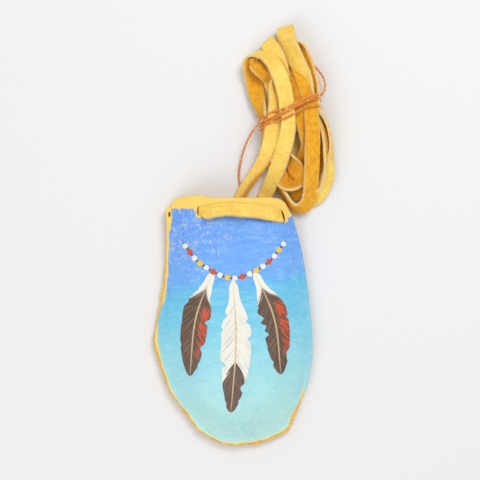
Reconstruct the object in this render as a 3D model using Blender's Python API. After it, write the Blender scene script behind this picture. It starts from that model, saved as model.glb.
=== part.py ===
# A small leather medicine pouch that lies on its back, its drawstring lace folded into a hank.
# Metres, +Z up. The mouth points to +Y, the painted front faces +Z, and the flat back rests on z = 0.
# The origin is at the middle of the pouch's outline, on the surface that it lies on.

from math import cos, pi, sin

import bmesh
import bpy
from mathutils import Vector

MM = 0.001
UP = Vector((0, 0, 1))

# Pouch
POUCH_WIDTH = 50.6 * MM
POUCH_LENGTH = 79.3 * MM
POUCH_DEPTH = 11.0 * MM  # from the surface that it lies on to the crown of the belly
LEATHER = 1.2 * MM
MOUTH_GAPE = 6.4 * MM  # between the two walls in the middle of the mouth
EDGE_LIFT = 1.0 * MM  # the seam stands this far off the surface below
SEAM_FLAT = 1.5 * MM  # flat strip of raw edge that shows outside the joint
GLUE_WIDTH = 2.4 * MM  # the two layers are stuck together this far in
SIDE_RISE = 16.0 * MM  # width over which the front climbs from a side to its crown
BOTTOM_RISE = 19.0 * MM
BACK_RISE = 7.0 * MM  # width over which the back sinks from its edge to the flat part
BACK_PROUD = 1.3 * MM  # how far the back layer shows past the front at the lower right
FOLD_START = 0.13  # share of the length, from the bottom, where the right side turns from raw edge to fold
MOUTH_START = 0.80  # share of the length where the back begins to lift for the lace
PAINT_TOP = 0.9  # share of the length that the paint covers
PROUD_FADE = 6.0 * MM  # the front layer is drawn back over this width
EDGE_SWELL = 0.2 * MM  # roundness of the two raw edges together
CREVICE = 0.2 * MM  # between the walls beside a stuck strip
GATHER = 0.30 * MM  # height of the soft ripples that the lace draws into the front

# Lace
LACE_WIDTH = 4.8 * MM
LACE_THICK = 1.4 * MM
SLIT_ALONG = 0.935  # the slits' place along the pouch, and across it
SLIT_LEFT = 0.262
SLIT_RIGHT = 0.905
GAP = 0.3 * MM  # kept between pieces that touch
LACE_BEND = 1.3 * MM  # radius of the lace's middle where it turns into a slit
TURN_LEFT = 6.0 * MM  # radius of its turn towards the rim behind the back
TURN_RIGHT = 3.0 * MM

# Waxed thread
THREAD = 0.8 * MM
WRAPS_WIDTH = 2.6 * MM
STITCH_LENGTH = 2.2 * MM
STITCH_THREAD = 0.7 * MM
STITCH_INSET = 1.25 * MM  # from the left edge
STITCH_ALONG = 0.925

# Hank
HANK_DEPTH = 11.5 * MM
TIP_DEPTH = 3.6 * MM  # at the folds of its outermost loops
WAIST_DEPTH = 8.8 * MM  # pinched by the thread
HANK_END = 0.7 * MM  # length of the rounding past the outermost loops' folds

# The outline's four sides, in halves of the pouch's width and length
LEFT_SIDE = ((-0.43, -0.895), (-0.63, -0.72), (-0.80, -0.565), (-0.955, -0.29), (-1.0, -0.15), (-0.972, -0.05),
             (-0.92, 0.12), (-0.862, 0.46), (-0.825, 0.75), (-0.842, 0.905))
RIGHT_SIDE = ((0.69, -0.895), (0.755, -0.80), (0.91, -0.573), (0.988, -0.33), (1.0, -0.15), (0.96, 0.15),
              (0.87, 0.55), (0.735, 0.872))
BOTTOM_SIDE = ((-0.43, -0.895), (-0.17, -0.982), (0.05, -1.0), (0.38, -0.977), (0.69, -0.895))
MOUTH_SIDE = ((-0.842, 0.905), (-0.79, 0.95), (-0.62, 0.992), (-0.43, 1.0), (-0.27, 0.985), (0.06, 0.983),
              (0.56, 0.983), (0.67, 0.95), (0.735, 0.872))

# Rungs across the hank from its top loops to its bottom ones, in mm from the middle of the rim line:
# left end, right end
HANK_RUNGS = (((14.8, 54.3), (19.0, 55.2)),
              ((9.8, 48.6), (20.8, 50.2)),
              ((4.7, 44.8), (23.3, 46.2)),
              ((3.4, 40.0), (25.6, 41.3)),
              ((4.4, 34.9), (26.9, 36.2)),
              ((6.1, 29.8), (27.2, 33.0)),
              ((8.0, 25.4), (27.2, 31.2)),
              ((9.0, 22.4), (27.9, 28.2)),
              ((20.4, 17.6), (30.2, 21.6)),
              ((19.4, 13.2), (31.6, 15.6)),
              ((17.6, 7.8), (32.1, 9.2)),
              ((18.0, 2.0), (31.8, 2.8)),
              ((19.4, -1.6), (29.8, -0.8)),
              ((22.0, -4.6), (26.4, -4.0)))

# The free leads, in mm from the middle of the rim line: the middle of the lace
LEAD_LEFT = ((3.4, 0.9, 1.0), (5.5, 5.4, 1.9), (8.2, 11.0, 4.1), (10.5, 16.2, 6.4), (12.2, 20.6, 7.9))
LEAD_RIGHT = ((10.1, 0.9, 1.0), (12.0, 5.6, 2.4), (14.2, 11.2, 5.2), (16.2, 15.4, 7.4), (17.3, 18.1, 8.3))

# The thread's slack ends, in mm from the middle of the rim line
TIE_TAIL = ((7.1, 23.6, 5.2), (5.2, 20.4, 3.4), (3.2, 14.6, 1.1), (1.9, 9.0, 0.5), (1.6, 6.4, 0.42),
            (2.2, 5.0, 0.42))
TIE_LOOP = ((29.1, 30.1, 5.4), (30.3, 32.2, 5.0), (30.6, 35.2, 4.4), (29.7, 38.8, 3.6), (27.6, 42.6, 2.4),
            (26.2, 44.6, 1.8))


# Curves and height helpers
def smooth_step(low, high, x):
    t = min(max((x - low) / (high - low), 0.0), 1.0)
    return t * t * (3 - 2 * t)


def shoulder(x):
    # 0 to 1 with a rounded top, for a wall that climbs from a seam to its crown
    return sin(pi / 2 * min(max(x, 0.0), 1.0))


def along(points, t):
    # a smooth curve through the points, with t from 0 to 1 by length
    points = [Vector(p) for p in points]
    spans = [(b - a).length for a, b in zip(points, points[1:])]
    left = min(max(t, 0.0), 1.0) * sum(spans)
    i = 0
    while i < len(spans) - 1 and left > spans[i]:
        left -= spans[i]
        i += 1
    s = left / spans[i]
    p1, p2 = points[i], points[i + 1]
    before = points[i - 1] if i else p1 * 2 - p2
    after = points[i + 2] if i + 2 < len(points) else p2 * 2 - p1
    enter = (p2 - before) * (spans[i] / (spans[i] + (p1 - before).length))
    leave = (after - p1) * (spans[i] / (spans[i] + (after - p2).length))
    s2, s3 = s * s, s * s * s
    return p1 * (2 * s3 - 3 * s2 + 1) + enter * (s3 - 2 * s2 + s) + p2 * (3 * s2 - 2 * s3) + leave * (s3 - s2)


# The pouch as a sheet: u runs from the left seam to the right fold, v from the bottom to the mouth
def outline(u, v):
    bottom, top = along(BOTTOM_SIDE, u), along(MOUTH_SIDE, u)
    left, right = along(LEFT_SIDE, v), along(RIGHT_SIDE, v)
    corners = (Vector(BOTTOM_SIDE[0]) * (1 - u) * (1 - v) + Vector(BOTTOM_SIDE[-1]) * u * (1 - v)
               + Vector(MOUTH_SIDE[0]) * (1 - u) * v + Vector(MOUTH_SIDE[-1]) * u * v)
    flat = bottom * (1 - v) + top * v + left * (1 - u) + right * u - corners
    return Vector((flat.x * POUCH_WIDTH / 2, flat.y * POUCH_LENGTH / 2))


def folded(v):
    # 0 where the right side is two raw edges, 1 where it is the fold
    return smooth_step(FOLD_START - 0.05, FOLD_START + 0.02, v)


def sheet_point(u, v):
    # inset on the right by the leather that the fold needs
    width = (outline(1, v) - outline(0, v)).length
    return outline(u * (1 - LEATHER * folded(v) / width), v)


def distances(u, v):
    width = (outline(1, v) - outline(0, v)).length
    height = (outline(u, 1) - outline(u, 0)).length
    return u * width, (1 - u) * width, v * height


def seam_level(v):
    # the underside of the back layer at the seam; at the mouth it clears the lace that runs behind it
    lace_room = LACE_THICK + 2 * GAP
    return EDGE_LIFT + (lace_room - EDGE_LIFT) * smooth_step(MOUTH_START, 0.9, v)


def back_point(u, v):
    left, right, bottom = distances(u, v)
    sunk = shoulder(left / BACK_RISE) * shoulder(right / BACK_RISE) * shoulder(bottom / BACK_RISE)
    sunk *= 1 - smooth_step(MOUTH_START - 0.08, 0.9, v)
    flat = sheet_point(u, v)
    height = seam_level(v) * (1 - smooth_step(0, 0.97, sunk))
    return Vector((flat.x, flat.y, height))


def front_point(u, v):
    left, right, bottom = distances(u, v)
    raised = (shoulder((left - SEAM_FLAT) / SIDE_RISE) * shoulder(right / SIDE_RISE)
              * shoulder((bottom - SEAM_FLAT) / BOTTOM_RISE))
    floor = seam_level(v) + 2 * LEATHER
    mouth_top = seam_level(v) + 2 * LEATHER + MOUTH_GAPE
    crown = POUCH_DEPTH + (mouth_top - POUCH_DEPTH) * smooth_step(MOUTH_START - 0.1, 1, v)
    ripples = GATHER * cos(2 * pi * 4.5 * u + 0.6) * smooth_step(0.55, 0.92, v)
    flat = sheet_point(u, v)
    # the front layer's edge stops short of the back's round the lower right corner
    short = BACK_PROUD * smooth_step(0.5, 0.85, u) * (1 - smooth_step(0.03, 0.16, v))
    inward = -flat.normalized() * short * (1 - smooth_step(0, PROUD_FADE, min(bottom, right)))
    return Vector((flat.x + inward.x, flat.y + inward.y, floor + (crown - floor + ripples) * raised))


def normal_of(surface, u, v):
    step = 0.004
    u0, u1 = max(u - step, 0), min(u + step, 1)
    v0, v1 = max(v - step, 0), min(v + step, 1)
    across, up_along = surface(u1, v) - surface(u0, v), surface(u, v1) - surface(u, v0)
    return across.cross(up_along).normalized()


def inner_back(u, v):
    return back_point(u, v) + UP * LEATHER / normal_of(back_point, u, v).z


def inner_front(u, v):
    # the walls come together at the stuck strips, where a low crevice stays between them
    point = front_point(u, v) - UP * LEATHER / normal_of(front_point, u, v).z
    point.z = max(point.z, inner_back(u, v).z + CREVICE)
    return point


# Mesh helpers
def material(name, colour, roughness):
    mat = bpy.data.materials.new(name)
    mat.use_nodes = True
    shader = mat.node_tree.nodes["Principled BSDF"]
    shader.inputs["Base Color"].default_value = (*colour, 1)
    shader.inputs["Roughness"].default_value = roughness
    return mat


def object_from(name, bm, mats, smooth_angle=0.9):
    bmesh.ops.recalc_face_normals(bm, faces=bm.faces)
    mesh = bpy.data.meshes.new(name)
    bm.to_mesh(mesh)
    bm.free()
    mesh.shade_smooth()
    mesh.set_sharp_from_angle(angle=smooth_angle)
    for mat in mats:
        mesh.materials.append(mat)
    obj = bpy.data.objects.new(name, mesh)
    bpy.context.collection.objects.link(obj)
    return obj


def loft(name, rings, mat, closed=False):
    # a solid through rings of equal count, capped at both ends unless it closes on itself
    bm = bmesh.new()
    verts = [[bm.verts.new(p) for p in ring] for ring in rings]
    pairs = list(zip(verts, verts[1:]))
    if closed:
        pairs.append((verts[-1], verts[0]))
    for a, b in pairs:
        for i in range(len(a)):
            j = (i + 1) % len(a)
            bm.faces.new((a[i], a[j], b[j], b[i]))
    if not closed:
        bm.faces.new(verts[0])
        bm.faces.new(verts[-1])
    return object_from(name, bm, [mat])


def cut(obj, cutter):
    cutter.hide_render = True
    cutter.display_type = "WIRE"
    boolean = obj.modifiers.new("cut", "BOOLEAN")
    boolean.operation = "DIFFERENCE"
    boolean.solver = "EXACT"
    boolean.object = cutter


def spaced(count):
    # even steps drawn a little closer together at both ends
    steps = [i / (count - 1) for i in range(count)]
    return [0.6 * s + 0.4 * (1 - cos(pi * s)) / 2 for s in steps]


# Pieces
def pouch_body(raw, paint):
    columns, rows, fold_steps = 25, 29, 3
    us, vs = spaced(columns), spaced(rows)

    def rounded(low, high, v, swell):
        # the right side's round between the back layer and the front one
        out = (outline(1, v) - outline(0.9, v)).normalized().to_3d()
        turns = [pi * k / (fold_steps + 1) for k in range(1, fold_steps + 1)]
        return [low.lerp(high, (1 - cos(turn)) / 2) + out * swell * sin(turn) for turn in turns]

    def outer_ring(v):
        low, high = back_point(1, v), front_point(1, v)
        fold = rounded(low, high, v, EDGE_SWELL + (LEATHER - EDGE_SWELL) * folded(v))
        return [back_point(u, v) for u in us] + fold + [front_point(u, v) for u in reversed(us)]

    def inner_ring(v):
        # the cavity ends at the stuck strips and just inside the fold
        width = (outline(1, v) - outline(0, v)).length
        beside = LEATHER * folded(v) + (GLUE_WIDTH + BACK_PROUD) * (1 - folded(v))
        start, end = GLUE_WIDTH / width, 1 - beside / width
        inner_us = [start + (end - start) * u for u in us]
        low, high = inner_back(end, v), inner_front(end, v)
        fold = rounded(low, high, v, (high.z - low.z) / 4)
        return [inner_back(u, v) for u in inner_us] + fold + [inner_front(u, v) for u in reversed(inner_us)]

    height = (outline(0.5, 1) - outline(0.5, 0)).length
    glued = GLUE_WIDTH / height
    outer = [outer_ring(v) for v in vs]
    inner = [inner_ring(glued + (1 - glued) * v) for v in vs]

    bm = bmesh.new()
    skins = [[[bm.verts.new(p) for p in ring] for ring in skin] for skin in (outer, inner)]
    around = len(outer[0])
    for skin in skins:
        for a, b in zip(skin, skin[1:]):
            for i in range(around):
                j = (i + 1) % around
                bm.faces.new((a[i], a[j], b[j], b[i]))
        # the closed bottom: back and front edges face each other across it
        first = skin[0]
        for i in range(columns - 1):
            j = around - 1 - i
            bm.faces.new((first[i], first[i + 1], first[j - 1], first[j]))
        fold_face = first[columns - 1:columns + fold_steps + 1]
        bm.faces.new(fold_face)
    rim_out, rim_in = skins[0][-1], skins[1][-1]
    for i in range(around):
        j = (i + 1) % around
        bm.faces.new((rim_out[i], rim_out[j], rim_in[j], rim_in[i]))
    # the paint covers the front from its raw seam strip to the bare rim
    painted = set(skins[0][0][columns + fold_steps:-1])
    for ring, v in zip(skins[0], vs):
        if v < PAINT_TOP:
            painted.update(ring[columns + fold_steps:-1])
    for face in bm.faces:
        face.material_index = int(all(vert in painted for vert in face.verts))
    body = object_from("pouch_body", bm, [raw, paint], smooth_angle=0.7)

    for u in (SLIT_LEFT, SLIT_RIGHT):
        cut(body, slit_cutter(front_point(u, SLIT_ALONG), raw))
    for end in stitch_ends():
        cut(body, post_cutter(end, STITCH_THREAD / 2 + GAP, raw))
    return body


def slit_cutter(at, mat):
    # a slit through both walls that the lace holds open, long enough for its width
    half_open, half_long = LACE_THICK / 2 + 1.5 * GAP, LACE_WIDTH / 2 + 2 * GAP
    steps = 20
    rings = []
    for z in (-LEATHER, POUCH_DEPTH + LEATHER):
        ring = []
        for k in range(steps):
            angle = 2 * pi * k / steps
            x = half_open * abs(cos(angle)) ** 0.5 * (1 if cos(angle) >= 0 else -1)
            y = half_long * abs(sin(angle)) ** 0.5 * (1 if sin(angle) >= 0 else -1)
            ring.append(Vector((at.x + x, at.y + y, z)))
        rings.append(ring)
    return loft("slit_cutter", rings, mat)


def stitch_ends():
    # the two holes of the stitch that closes the top of the left seam
    width = (outline(1, STITCH_ALONG) - outline(0, STITCH_ALONG)).length
    middle = sheet_point(STITCH_INSET / width, STITCH_ALONG)
    half = STITCH_LENGTH / 2
    return [Vector((middle.x, middle.y + side * half, 0)) for side in (-1, 1)]


def post_cutter(at, radius, mat):
    steps = 10
    top = seam_level(1) + 2 * LEATHER + POUCH_DEPTH
    rings = [[Vector((at.x + radius * cos(2 * pi * k / steps), at.y + radius * sin(2 * pi * k / steps), z))
              for k in range(steps)] for z in (-LEATHER, top)]
    return loft("stitch_cutter", rings, mat)


def corner_stitch(mat):
    # a closed loop of thread, down through one hole and up through the other
    low_end, high_end = stitch_ends()
    floor = seam_level(STITCH_ALONG)
    over = floor + 2 * LEATHER + GAP + STITCH_THREAD / 2
    under = floor - GAP - STITCH_THREAD / 2
    route = []
    for y, z in ((low_end.y, under), (low_end.y, over), (high_end.y, over), (high_end.y, under)):
        route.append(Vector((low_end.x, y, z)))
    rings = []
    sides = 8
    for i, point in enumerate(route):
        before, after = route[i - 1], route[(i + 1) % 4]
        # each corner is mitred: its ring lies in the plane that halves the angle
        mitre = ((point - before).normalized() - (after - point).normalized()).normalized()
        side = Vector((1, 0, 0))
        ring = []
        for k in range(sides):
            angle = 2 * pi * k / sides
            ring.append(point + (side * cos(angle) + mitre * sin(angle) * 2 ** 0.5) * STITCH_THREAD / 2)
        rings.append(ring)
    return loft("corner_stitch", rings, mat, closed=True)


def ribbon(name, stations, mat):
    # a flat lace: each station is its middle and its face's direction
    rings = []
    half, thick = LACE_WIDTH / 2, LACE_THICK / 2
    round_off = 0.3 * MM
    for i, (point, face) in enumerate(stations):
        ahead = stations[min(i + 1, len(stations) - 1)][0] - stations[max(i - 1, 0)][0]
        side = face.cross(ahead).normalized()
        face = ahead.cross(side).normalized()
        section = ((half, thick - round_off), (half - round_off, thick), (-half + round_off, thick),
                   (-half, thick - round_off), (-half, -thick + round_off), (-half + round_off, -thick),
                   (half - round_off, -thick), (half, -thick + round_off))
        rings.append([point + side * a + face * b for a, b in section])
    return loft(name, rings, mat)


def rim_line():
    return Vector((0, outline(0.55, 1).y, 0))


def from_rim(points):
    return [rim_line() + Vector(p) * MM for p in points]


def drawstring_span(mat):
    # behind the back wall, through both slits, over the front, and back the same way
    over = GAP + LACE_THICK / 2
    behind = GAP + LACE_THICK / 2
    strap = []
    left = front_point(SLIT_LEFT, SLIT_ALONG)
    right = front_point(SLIT_RIGHT, SLIT_ALONG)
    width = (outline(1, SLIT_ALONG) - outline(0, SLIT_ALONG)).length
    reach = LACE_BEND / width
    steps = 10
    for k in range(steps + 1):
        u = SLIT_LEFT + reach + (SLIT_RIGHT - SLIT_LEFT - 2 * reach) * k / steps
        face = normal_of(front_point, u, SLIT_ALONG)
        strap.append((front_point(u, SLIT_ALONG) + face * over, face))

    def crossing(slit, end, outward):
        # from the strap's end down through the front slit and out of the back one
        side = Vector((outward, 0, 0))
        r = LACE_BEND
        down = []
        for k in range(1, 4):
            turn = pi / 2 * k / 3
            down.append((Vector((slit.x - outward * r * (1 - sin(turn)), slit.y, end.z - r * (1 - cos(turn)))),
                         UP * cos(turn) + side * sin(turn)))
        for k in range(3):
            turn = pi / 2 * k / 3
            down.append((Vector((slit.x - outward * r * (1 - cos(turn)), slit.y,
                                 behind + r * (1 - sin(turn)))), side * cos(turn) - UP * sin(turn)))
        return down

    def hidden_run(slit, exit_at, outward, turn_radius, heading):
        # flat behind the back wall: straight in from the slit, then one turn towards the rim
        start = Vector((slit.x - outward * LACE_BEND, slit.y, behind))
        turn = heading if outward < 0 else heading - pi
        sign = 1 if turn > 0 else -1
        steps = 6
        begin_heading = 0 if outward < 0 else pi
        arc = []
        for k in range(steps + 1):
            at = begin_heading + turn * k / steps
            arc.append(Vector((sin(at), -cos(at), 0)) * turn_radius * sign)
        end = arc[-1]
        arc = [exit_at + p - end for p in arc]
        return [(start, -UP)] + [(p, -UP) for p in arc]

    heading = (Vector(LEAD_LEFT[1]) - Vector(LEAD_LEFT[0])).to_2d().angle_signed(Vector((1, 0)))
    exit_left = from_rim(LEAD_LEFT)[0]
    exit_right = from_rim(LEAD_RIGHT)[0]
    back = Vector((sin(pi / 2 - heading), cos(pi / 2 - heading), 0)) * (2 * GAP)
    left_run = hidden_run(left, exit_left - back, -1, TURN_LEFT, heading)
    right_run = hidden_run(right, exit_right - back, 1, TURN_RIGHT, heading)
    stations = list(reversed(left_run)) + list(reversed(crossing(left, strap[0][0], -1)))
    stations += strap
    stations += crossing(right, strap[-1][0], 1) + right_run
    return ribbon("drawstring_span", stations, mat)


def lead(name, points, mat):
    route = from_rim(points)
    steps = 8
    return ribbon(name, [(along(route, k / steps), UP) for k in range(steps + 1)], mat)


def hank_ring(rung, depth, lift, grow=0.0, steps=24):
    # a flattened round section that stands on the rung
    left, right = (from_rim([(*end, 0)])[0] for end in rung)
    centre, half = (left + right) / 2, (right - left) / 2
    reach = half.length + grow
    direction = half.normalized()
    rise = (depth - lift) / 2 + grow
    ring = []
    for k in range(steps):
        angle = 2 * pi * k / steps
        a = abs(cos(angle)) ** 0.7 * (1 if cos(angle) >= 0 else -1)
        b = abs(sin(angle)) ** 0.7 * (1 if sin(angle) >= 0 else -1)
        ring.append(centre + direction * reach * a + UP * ((depth + lift) / 2 + rise * b))
    return ring


def waist_lift():
    return THREAD + 2 * GAP


def waist():
    # the thread lies between the two middle rungs
    return len(HANK_RUNGS) // 2 - 0.5


def lace_hank(mat):
    rings = []
    last = len(HANK_RUNGS) - 1
    for i, rung in enumerate(HANK_RUNGS):
        pinch = 1 - smooth_step(0.5, 2.6, abs(i - waist()))
        tip = shoulder(min(i, last - i) / 3)
        depth = TIP_DEPTH + (HANK_DEPTH - TIP_DEPTH) * tip
        depth += (WAIST_DEPTH + waist_lift() - depth) * pinch
        rings.append(hank_ring(rung, depth, waist_lift() * pinch))
    # both ends are rounded off by a smaller section a little further out
    for end, inner in ((0, 1), (-1, -2)):
        middle_of = [sum(rings[i], Vector()) / len(rings[i]) for i in (end, inner)]
        out = (middle_of[0] - middle_of[1]).normalized() * HANK_END
        tip = [middle_of[0] + (point - middle_of[0]) * 0.6 + out for point in rings[end]]
        if end:
            rings.append(tip)
        else:
            rings.insert(0, tip)
    return loft("lace_hank", rings, mat)


def tie_wraps(mat):
    upper, lower = HANK_RUNGS[int(waist())], HANK_RUNGS[int(waist()) + 1]
    rung = tuple(tuple((a + b) / 2 for a, b in zip(p, q)) for p, q in zip(upper, lower))
    depth, lift = WAIST_DEPTH + waist_lift(), waist_lift()
    inside = hank_ring(rung, depth, lift, GAP)
    outside = hank_ring(rung, depth, lift, GAP + THREAD)
    left, right = (Vector(end) for end in rung)
    axis = Vector((left.y - right.y, right.x - left.x, 0)).normalized() * WRAPS_WIDTH / 2
    rings = [[a - axis, b - axis, b + axis, a + axis] for a, b in zip(inside, outside)]
    return loft("tie_wraps", rings, mat, closed=True)


def thread(name, points, mat):
    route = from_rim(points)
    length = sum((b - a).length for a, b in zip(route, route[1:]))
    count = max(int(length / (2.5 * THREAD)), 2)
    curve = bpy.data.curves.new(name, "CURVE")
    curve.dimensions = "3D"
    curve.bevel_depth = THREAD / 2
    curve.bevel_resolution = 2
    curve.use_fill_caps = True
    spline = curve.splines.new("POLY")
    spline.points.add(count)
    for k in range(count + 1):
        spline.points[k].co = (*along(route, k / count), 1)
    curve.materials.append(mat)
    obj = bpy.data.objects.new(name, curve)
    bpy.context.collection.objects.link(obj)
    return obj


def main():
    for obj in list(bpy.data.objects):
        bpy.data.objects.remove(obj)
    leather = material("raw_leather", (0.80, 0.58, 0.19), 0.75)
    painted = material("painted_leather", (0.13, 0.38, 0.62), 0.55)
    buckskin = material("buckskin_lace", (0.78, 0.52, 0.12), 0.8)
    waxed = material("waxed_thread", (0.42, 0.14, 0.04), 0.45)
    pouch_body(leather, painted)
    corner_stitch(waxed)
    drawstring_span(buckskin)
    lead("lead_left", LEAD_LEFT, buckskin)
    lead("lead_right", LEAD_RIGHT, buckskin)
    lace_hank(buckskin)
    tie_wraps(waxed)
    thread("tie_tail", TIE_TAIL, waxed)
    thread("tie_loop", TIE_LOOP, waxed)


main()
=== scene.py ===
from math import cos, pi, sin

import bmesh
import bpy
import numpy as np
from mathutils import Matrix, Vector, noise
from mathutils.bvhtree import BVHTree


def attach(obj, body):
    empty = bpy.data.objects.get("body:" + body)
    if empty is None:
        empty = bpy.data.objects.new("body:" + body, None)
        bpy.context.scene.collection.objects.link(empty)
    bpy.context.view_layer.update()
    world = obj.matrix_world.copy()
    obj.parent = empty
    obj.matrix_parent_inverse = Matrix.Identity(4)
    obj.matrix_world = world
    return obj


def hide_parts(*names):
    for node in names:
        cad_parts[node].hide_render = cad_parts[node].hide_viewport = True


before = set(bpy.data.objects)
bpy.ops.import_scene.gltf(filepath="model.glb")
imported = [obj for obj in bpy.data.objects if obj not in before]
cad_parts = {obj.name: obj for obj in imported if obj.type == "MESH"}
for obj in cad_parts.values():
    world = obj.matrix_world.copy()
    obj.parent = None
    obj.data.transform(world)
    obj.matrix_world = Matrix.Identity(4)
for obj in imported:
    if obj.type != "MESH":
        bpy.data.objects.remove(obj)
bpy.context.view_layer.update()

mm = 0.001

# The picture's scale, which places everything that is traced by its pixels
picture = {
    "pixel": 0.32 * mm,  # on the table
    "size": 480,
    "middle": 240,  # the pixel under the camera, across and down
    "originX": 233,  # the pixel of the part's origin
    "originY": 320,
    "height": 0.46,  # of the camera above the table
}


def at(px, py, z=0.0):
    # the place that the camera sees at this pixel, z in mm above the table
    middle = picture["middle"]
    reach = 1 - z * mm / picture["height"]
    x = (middle - picture["originX"]) + (px - middle) * reach
    y = (picture["originY"] - middle) + (middle - py) * reach
    return Vector((x * picture["pixel"], y * picture["pixel"], z * mm))


def paintColour(red, green, blue):
    # a colour as a painter's 0 to 255 values, for the shader's linear ones
    shares = [c / 255 for c in (red, green, blue)]
    return (*(c / 12.92 if c <= 0.04 else ((c + 0.055) / 1.055) ** 2.4 for c in shares), 1)


def smoothStep(low, high, x):
    t = np.clip((np.asarray(x, float) - low) / (high - low), 0, 1)
    return t * t * (3 - 2 * t)


# Short words for the nodes that a finish is made of
def newMaterial(name, roughness):
    material = bpy.data.materials.new(name)
    material.use_nodes = True
    material.node_tree.nodes["Principled BSDF"].inputs["Roughness"].default_value = roughness
    return material, material.node_tree


def addNode(tree, kind, inputs=None, **settings):
    node = tree.nodes.new(kind)
    for key, value in settings.items():
        setattr(node, key, value)
    for key, value in (inputs or {}).items():
        if isinstance(value, bpy.types.NodeSocket):
            tree.links.new(value, node.inputs[key])
        else:
            node.inputs[key].default_value = value
    return node


def plus(tree, a, b, operation="ADD"):
    return addNode(tree, "ShaderNodeMath", {0: a, 1: b}, operation=operation).outputs[0]


def minus(tree, a, b):
    return plus(tree, a, b, "SUBTRACT")


def times(tree, a, b):
    return plus(tree, a, b, "MULTIPLY")


def larger(tree, a, b):
    return plus(tree, a, b, "MAXIMUM")


def between(tree, value, low, high, start=0.0, end=1.0):
    # the value from low to high as start to end, with a soft step
    node = addNode(tree, "ShaderNodeMapRange", {"Value": value, "From Min": low, "From Max": high,
                                                "To Min": start, "To Max": end})
    node.interpolation_type = "SMOOTHSTEP"
    return node.outputs[0]


def tint(tree, colour, shade, share):
    # a share of the shade laid over the colour; each is another node's output or a painter's colour
    a, b = (paintColour(*c) if isinstance(c, tuple) else c for c in (colour, shade))
    return addNode(tree, "ShaderNodeMix", {0: share, 6: a, 7: b}, data_type="RGBA").outputs[2]


def laid(tree, finish, colour, *layers):
    # layers over a colour: each one's shade in the finish, its pattern, and the pattern's low and high
    # with the layer's share at both
    for shade, pattern, *shares in layers:
        colour = tint(tree, colour, finish[shade], between(tree, pattern, *shares))
    return colour


def places(tree, stretch=(1, 1, 1), spot=None):
    coords = addNode(tree, "ShaderNodeTexCoord").outputs["Object"] if spot is None else spot
    if tuple(stretch) == (1, 1, 1):
        return coords
    return addNode(tree, "ShaderNodeMapping", {"Vector": coords, "Scale": stretch}).outputs[0]


def speckle(tree, scale, detail=3.0, rough=0.6, stretch=(1, 1, 1), spot=None, distortion=0.0):
    # scale is features per metre
    inputs = {"Vector": places(tree, stretch, spot), "Scale": scale, "Detail": detail, "Roughness": rough,
              "Distortion": distortion}
    return addNode(tree, "ShaderNodeTexNoise", inputs).outputs["Fac"]


def pits(tree, scale, feature="F1", stretch=(1, 1, 1)):
    inputs = {"Vector": places(tree, stretch), "Scale": scale}
    return addNode(tree, "ShaderNodeTexVoronoi", inputs, feature=feature).outputs["Distance"]


def fromSpot(tree, spot):
    # how far each place is from the one at this pixel, seen from above
    flat = addNode(tree, "ShaderNodeVectorMath", {0: places(tree), 1: (1, 1, 0)}, operation="MULTIPLY")
    inputs = {0: flat.outputs[0], 1: tuple(at(*spot))}
    return addNode(tree, "ShaderNodeVectorMath", inputs, operation="DISTANCE").outputs[1]


def coat(material, colour, height, depth, strength):
    # gives the material its colour and its relief
    tree = material.node_tree
    shader = tree.nodes["Principled BSDF"]
    bump = addNode(tree, "ShaderNodeBump", {"Height": height, "Distance": depth, "Strength": strength})
    tree.links.new(colour, shader.inputs["Base Color"])
    tree.links.new(bump.outputs[0], shader.inputs["Normal"])
    return material


# The pouch's leather: bare on the back, the rim and the raw edges
leatherFinish = {
    "tan": (250, 212, 106),
    "tanWarm": (244, 202, 92),
    "tanDeep": (230, 174, 40),
    "cut": (246, 206, 122),
    "cutDark": (220, 166, 80),
    "cutFibre": (250, 222, 150),
    "poreSize": 0.55 * mm,
}


def tanLeather():
    material, tree = newMaterial("tanLeather", 0.62)
    pore = pits(tree, 1 / leatherFinish["poreSize"])
    fine = speckle(tree, 2200, 4)
    broad = speckle(tree, 160, 3)
    colour = laid(tree, leatherFinish, leatherFinish["tan"], ("tanWarm", broad, 0.35, 0.7),
                  ("tanDeep", fine, 0.5, 0.68, 0.0, 0.45), ("tanDeep", pore, 0.10, 0.42, 0.4, 0.0))
    height = plus(tree, between(tree, pore, 0.10, 0.42, 0.0, 0.7), times(tree, fine, 0.7))
    return coat(material, colour, height, 0.16 * mm, 0.9)


def cutLeather():
    material, tree = newMaterial("cutLeather", 0.85)
    layer = speckle(tree, 1500, 4, stretch=(1, 1, 3))
    fibre = speckle(tree, 5200, 3)
    colour = laid(tree, leatherFinish, leatherFinish["cutDark"], ("cut", layer, 0.35, 0.66))
    colour = tint(tree, colour, leatherFinish["cutFibre"], times(tree, fibre, 0.5))
    return coat(material, colour, plus(tree, layer, fibre), 0.15 * mm, 0.8)


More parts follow.
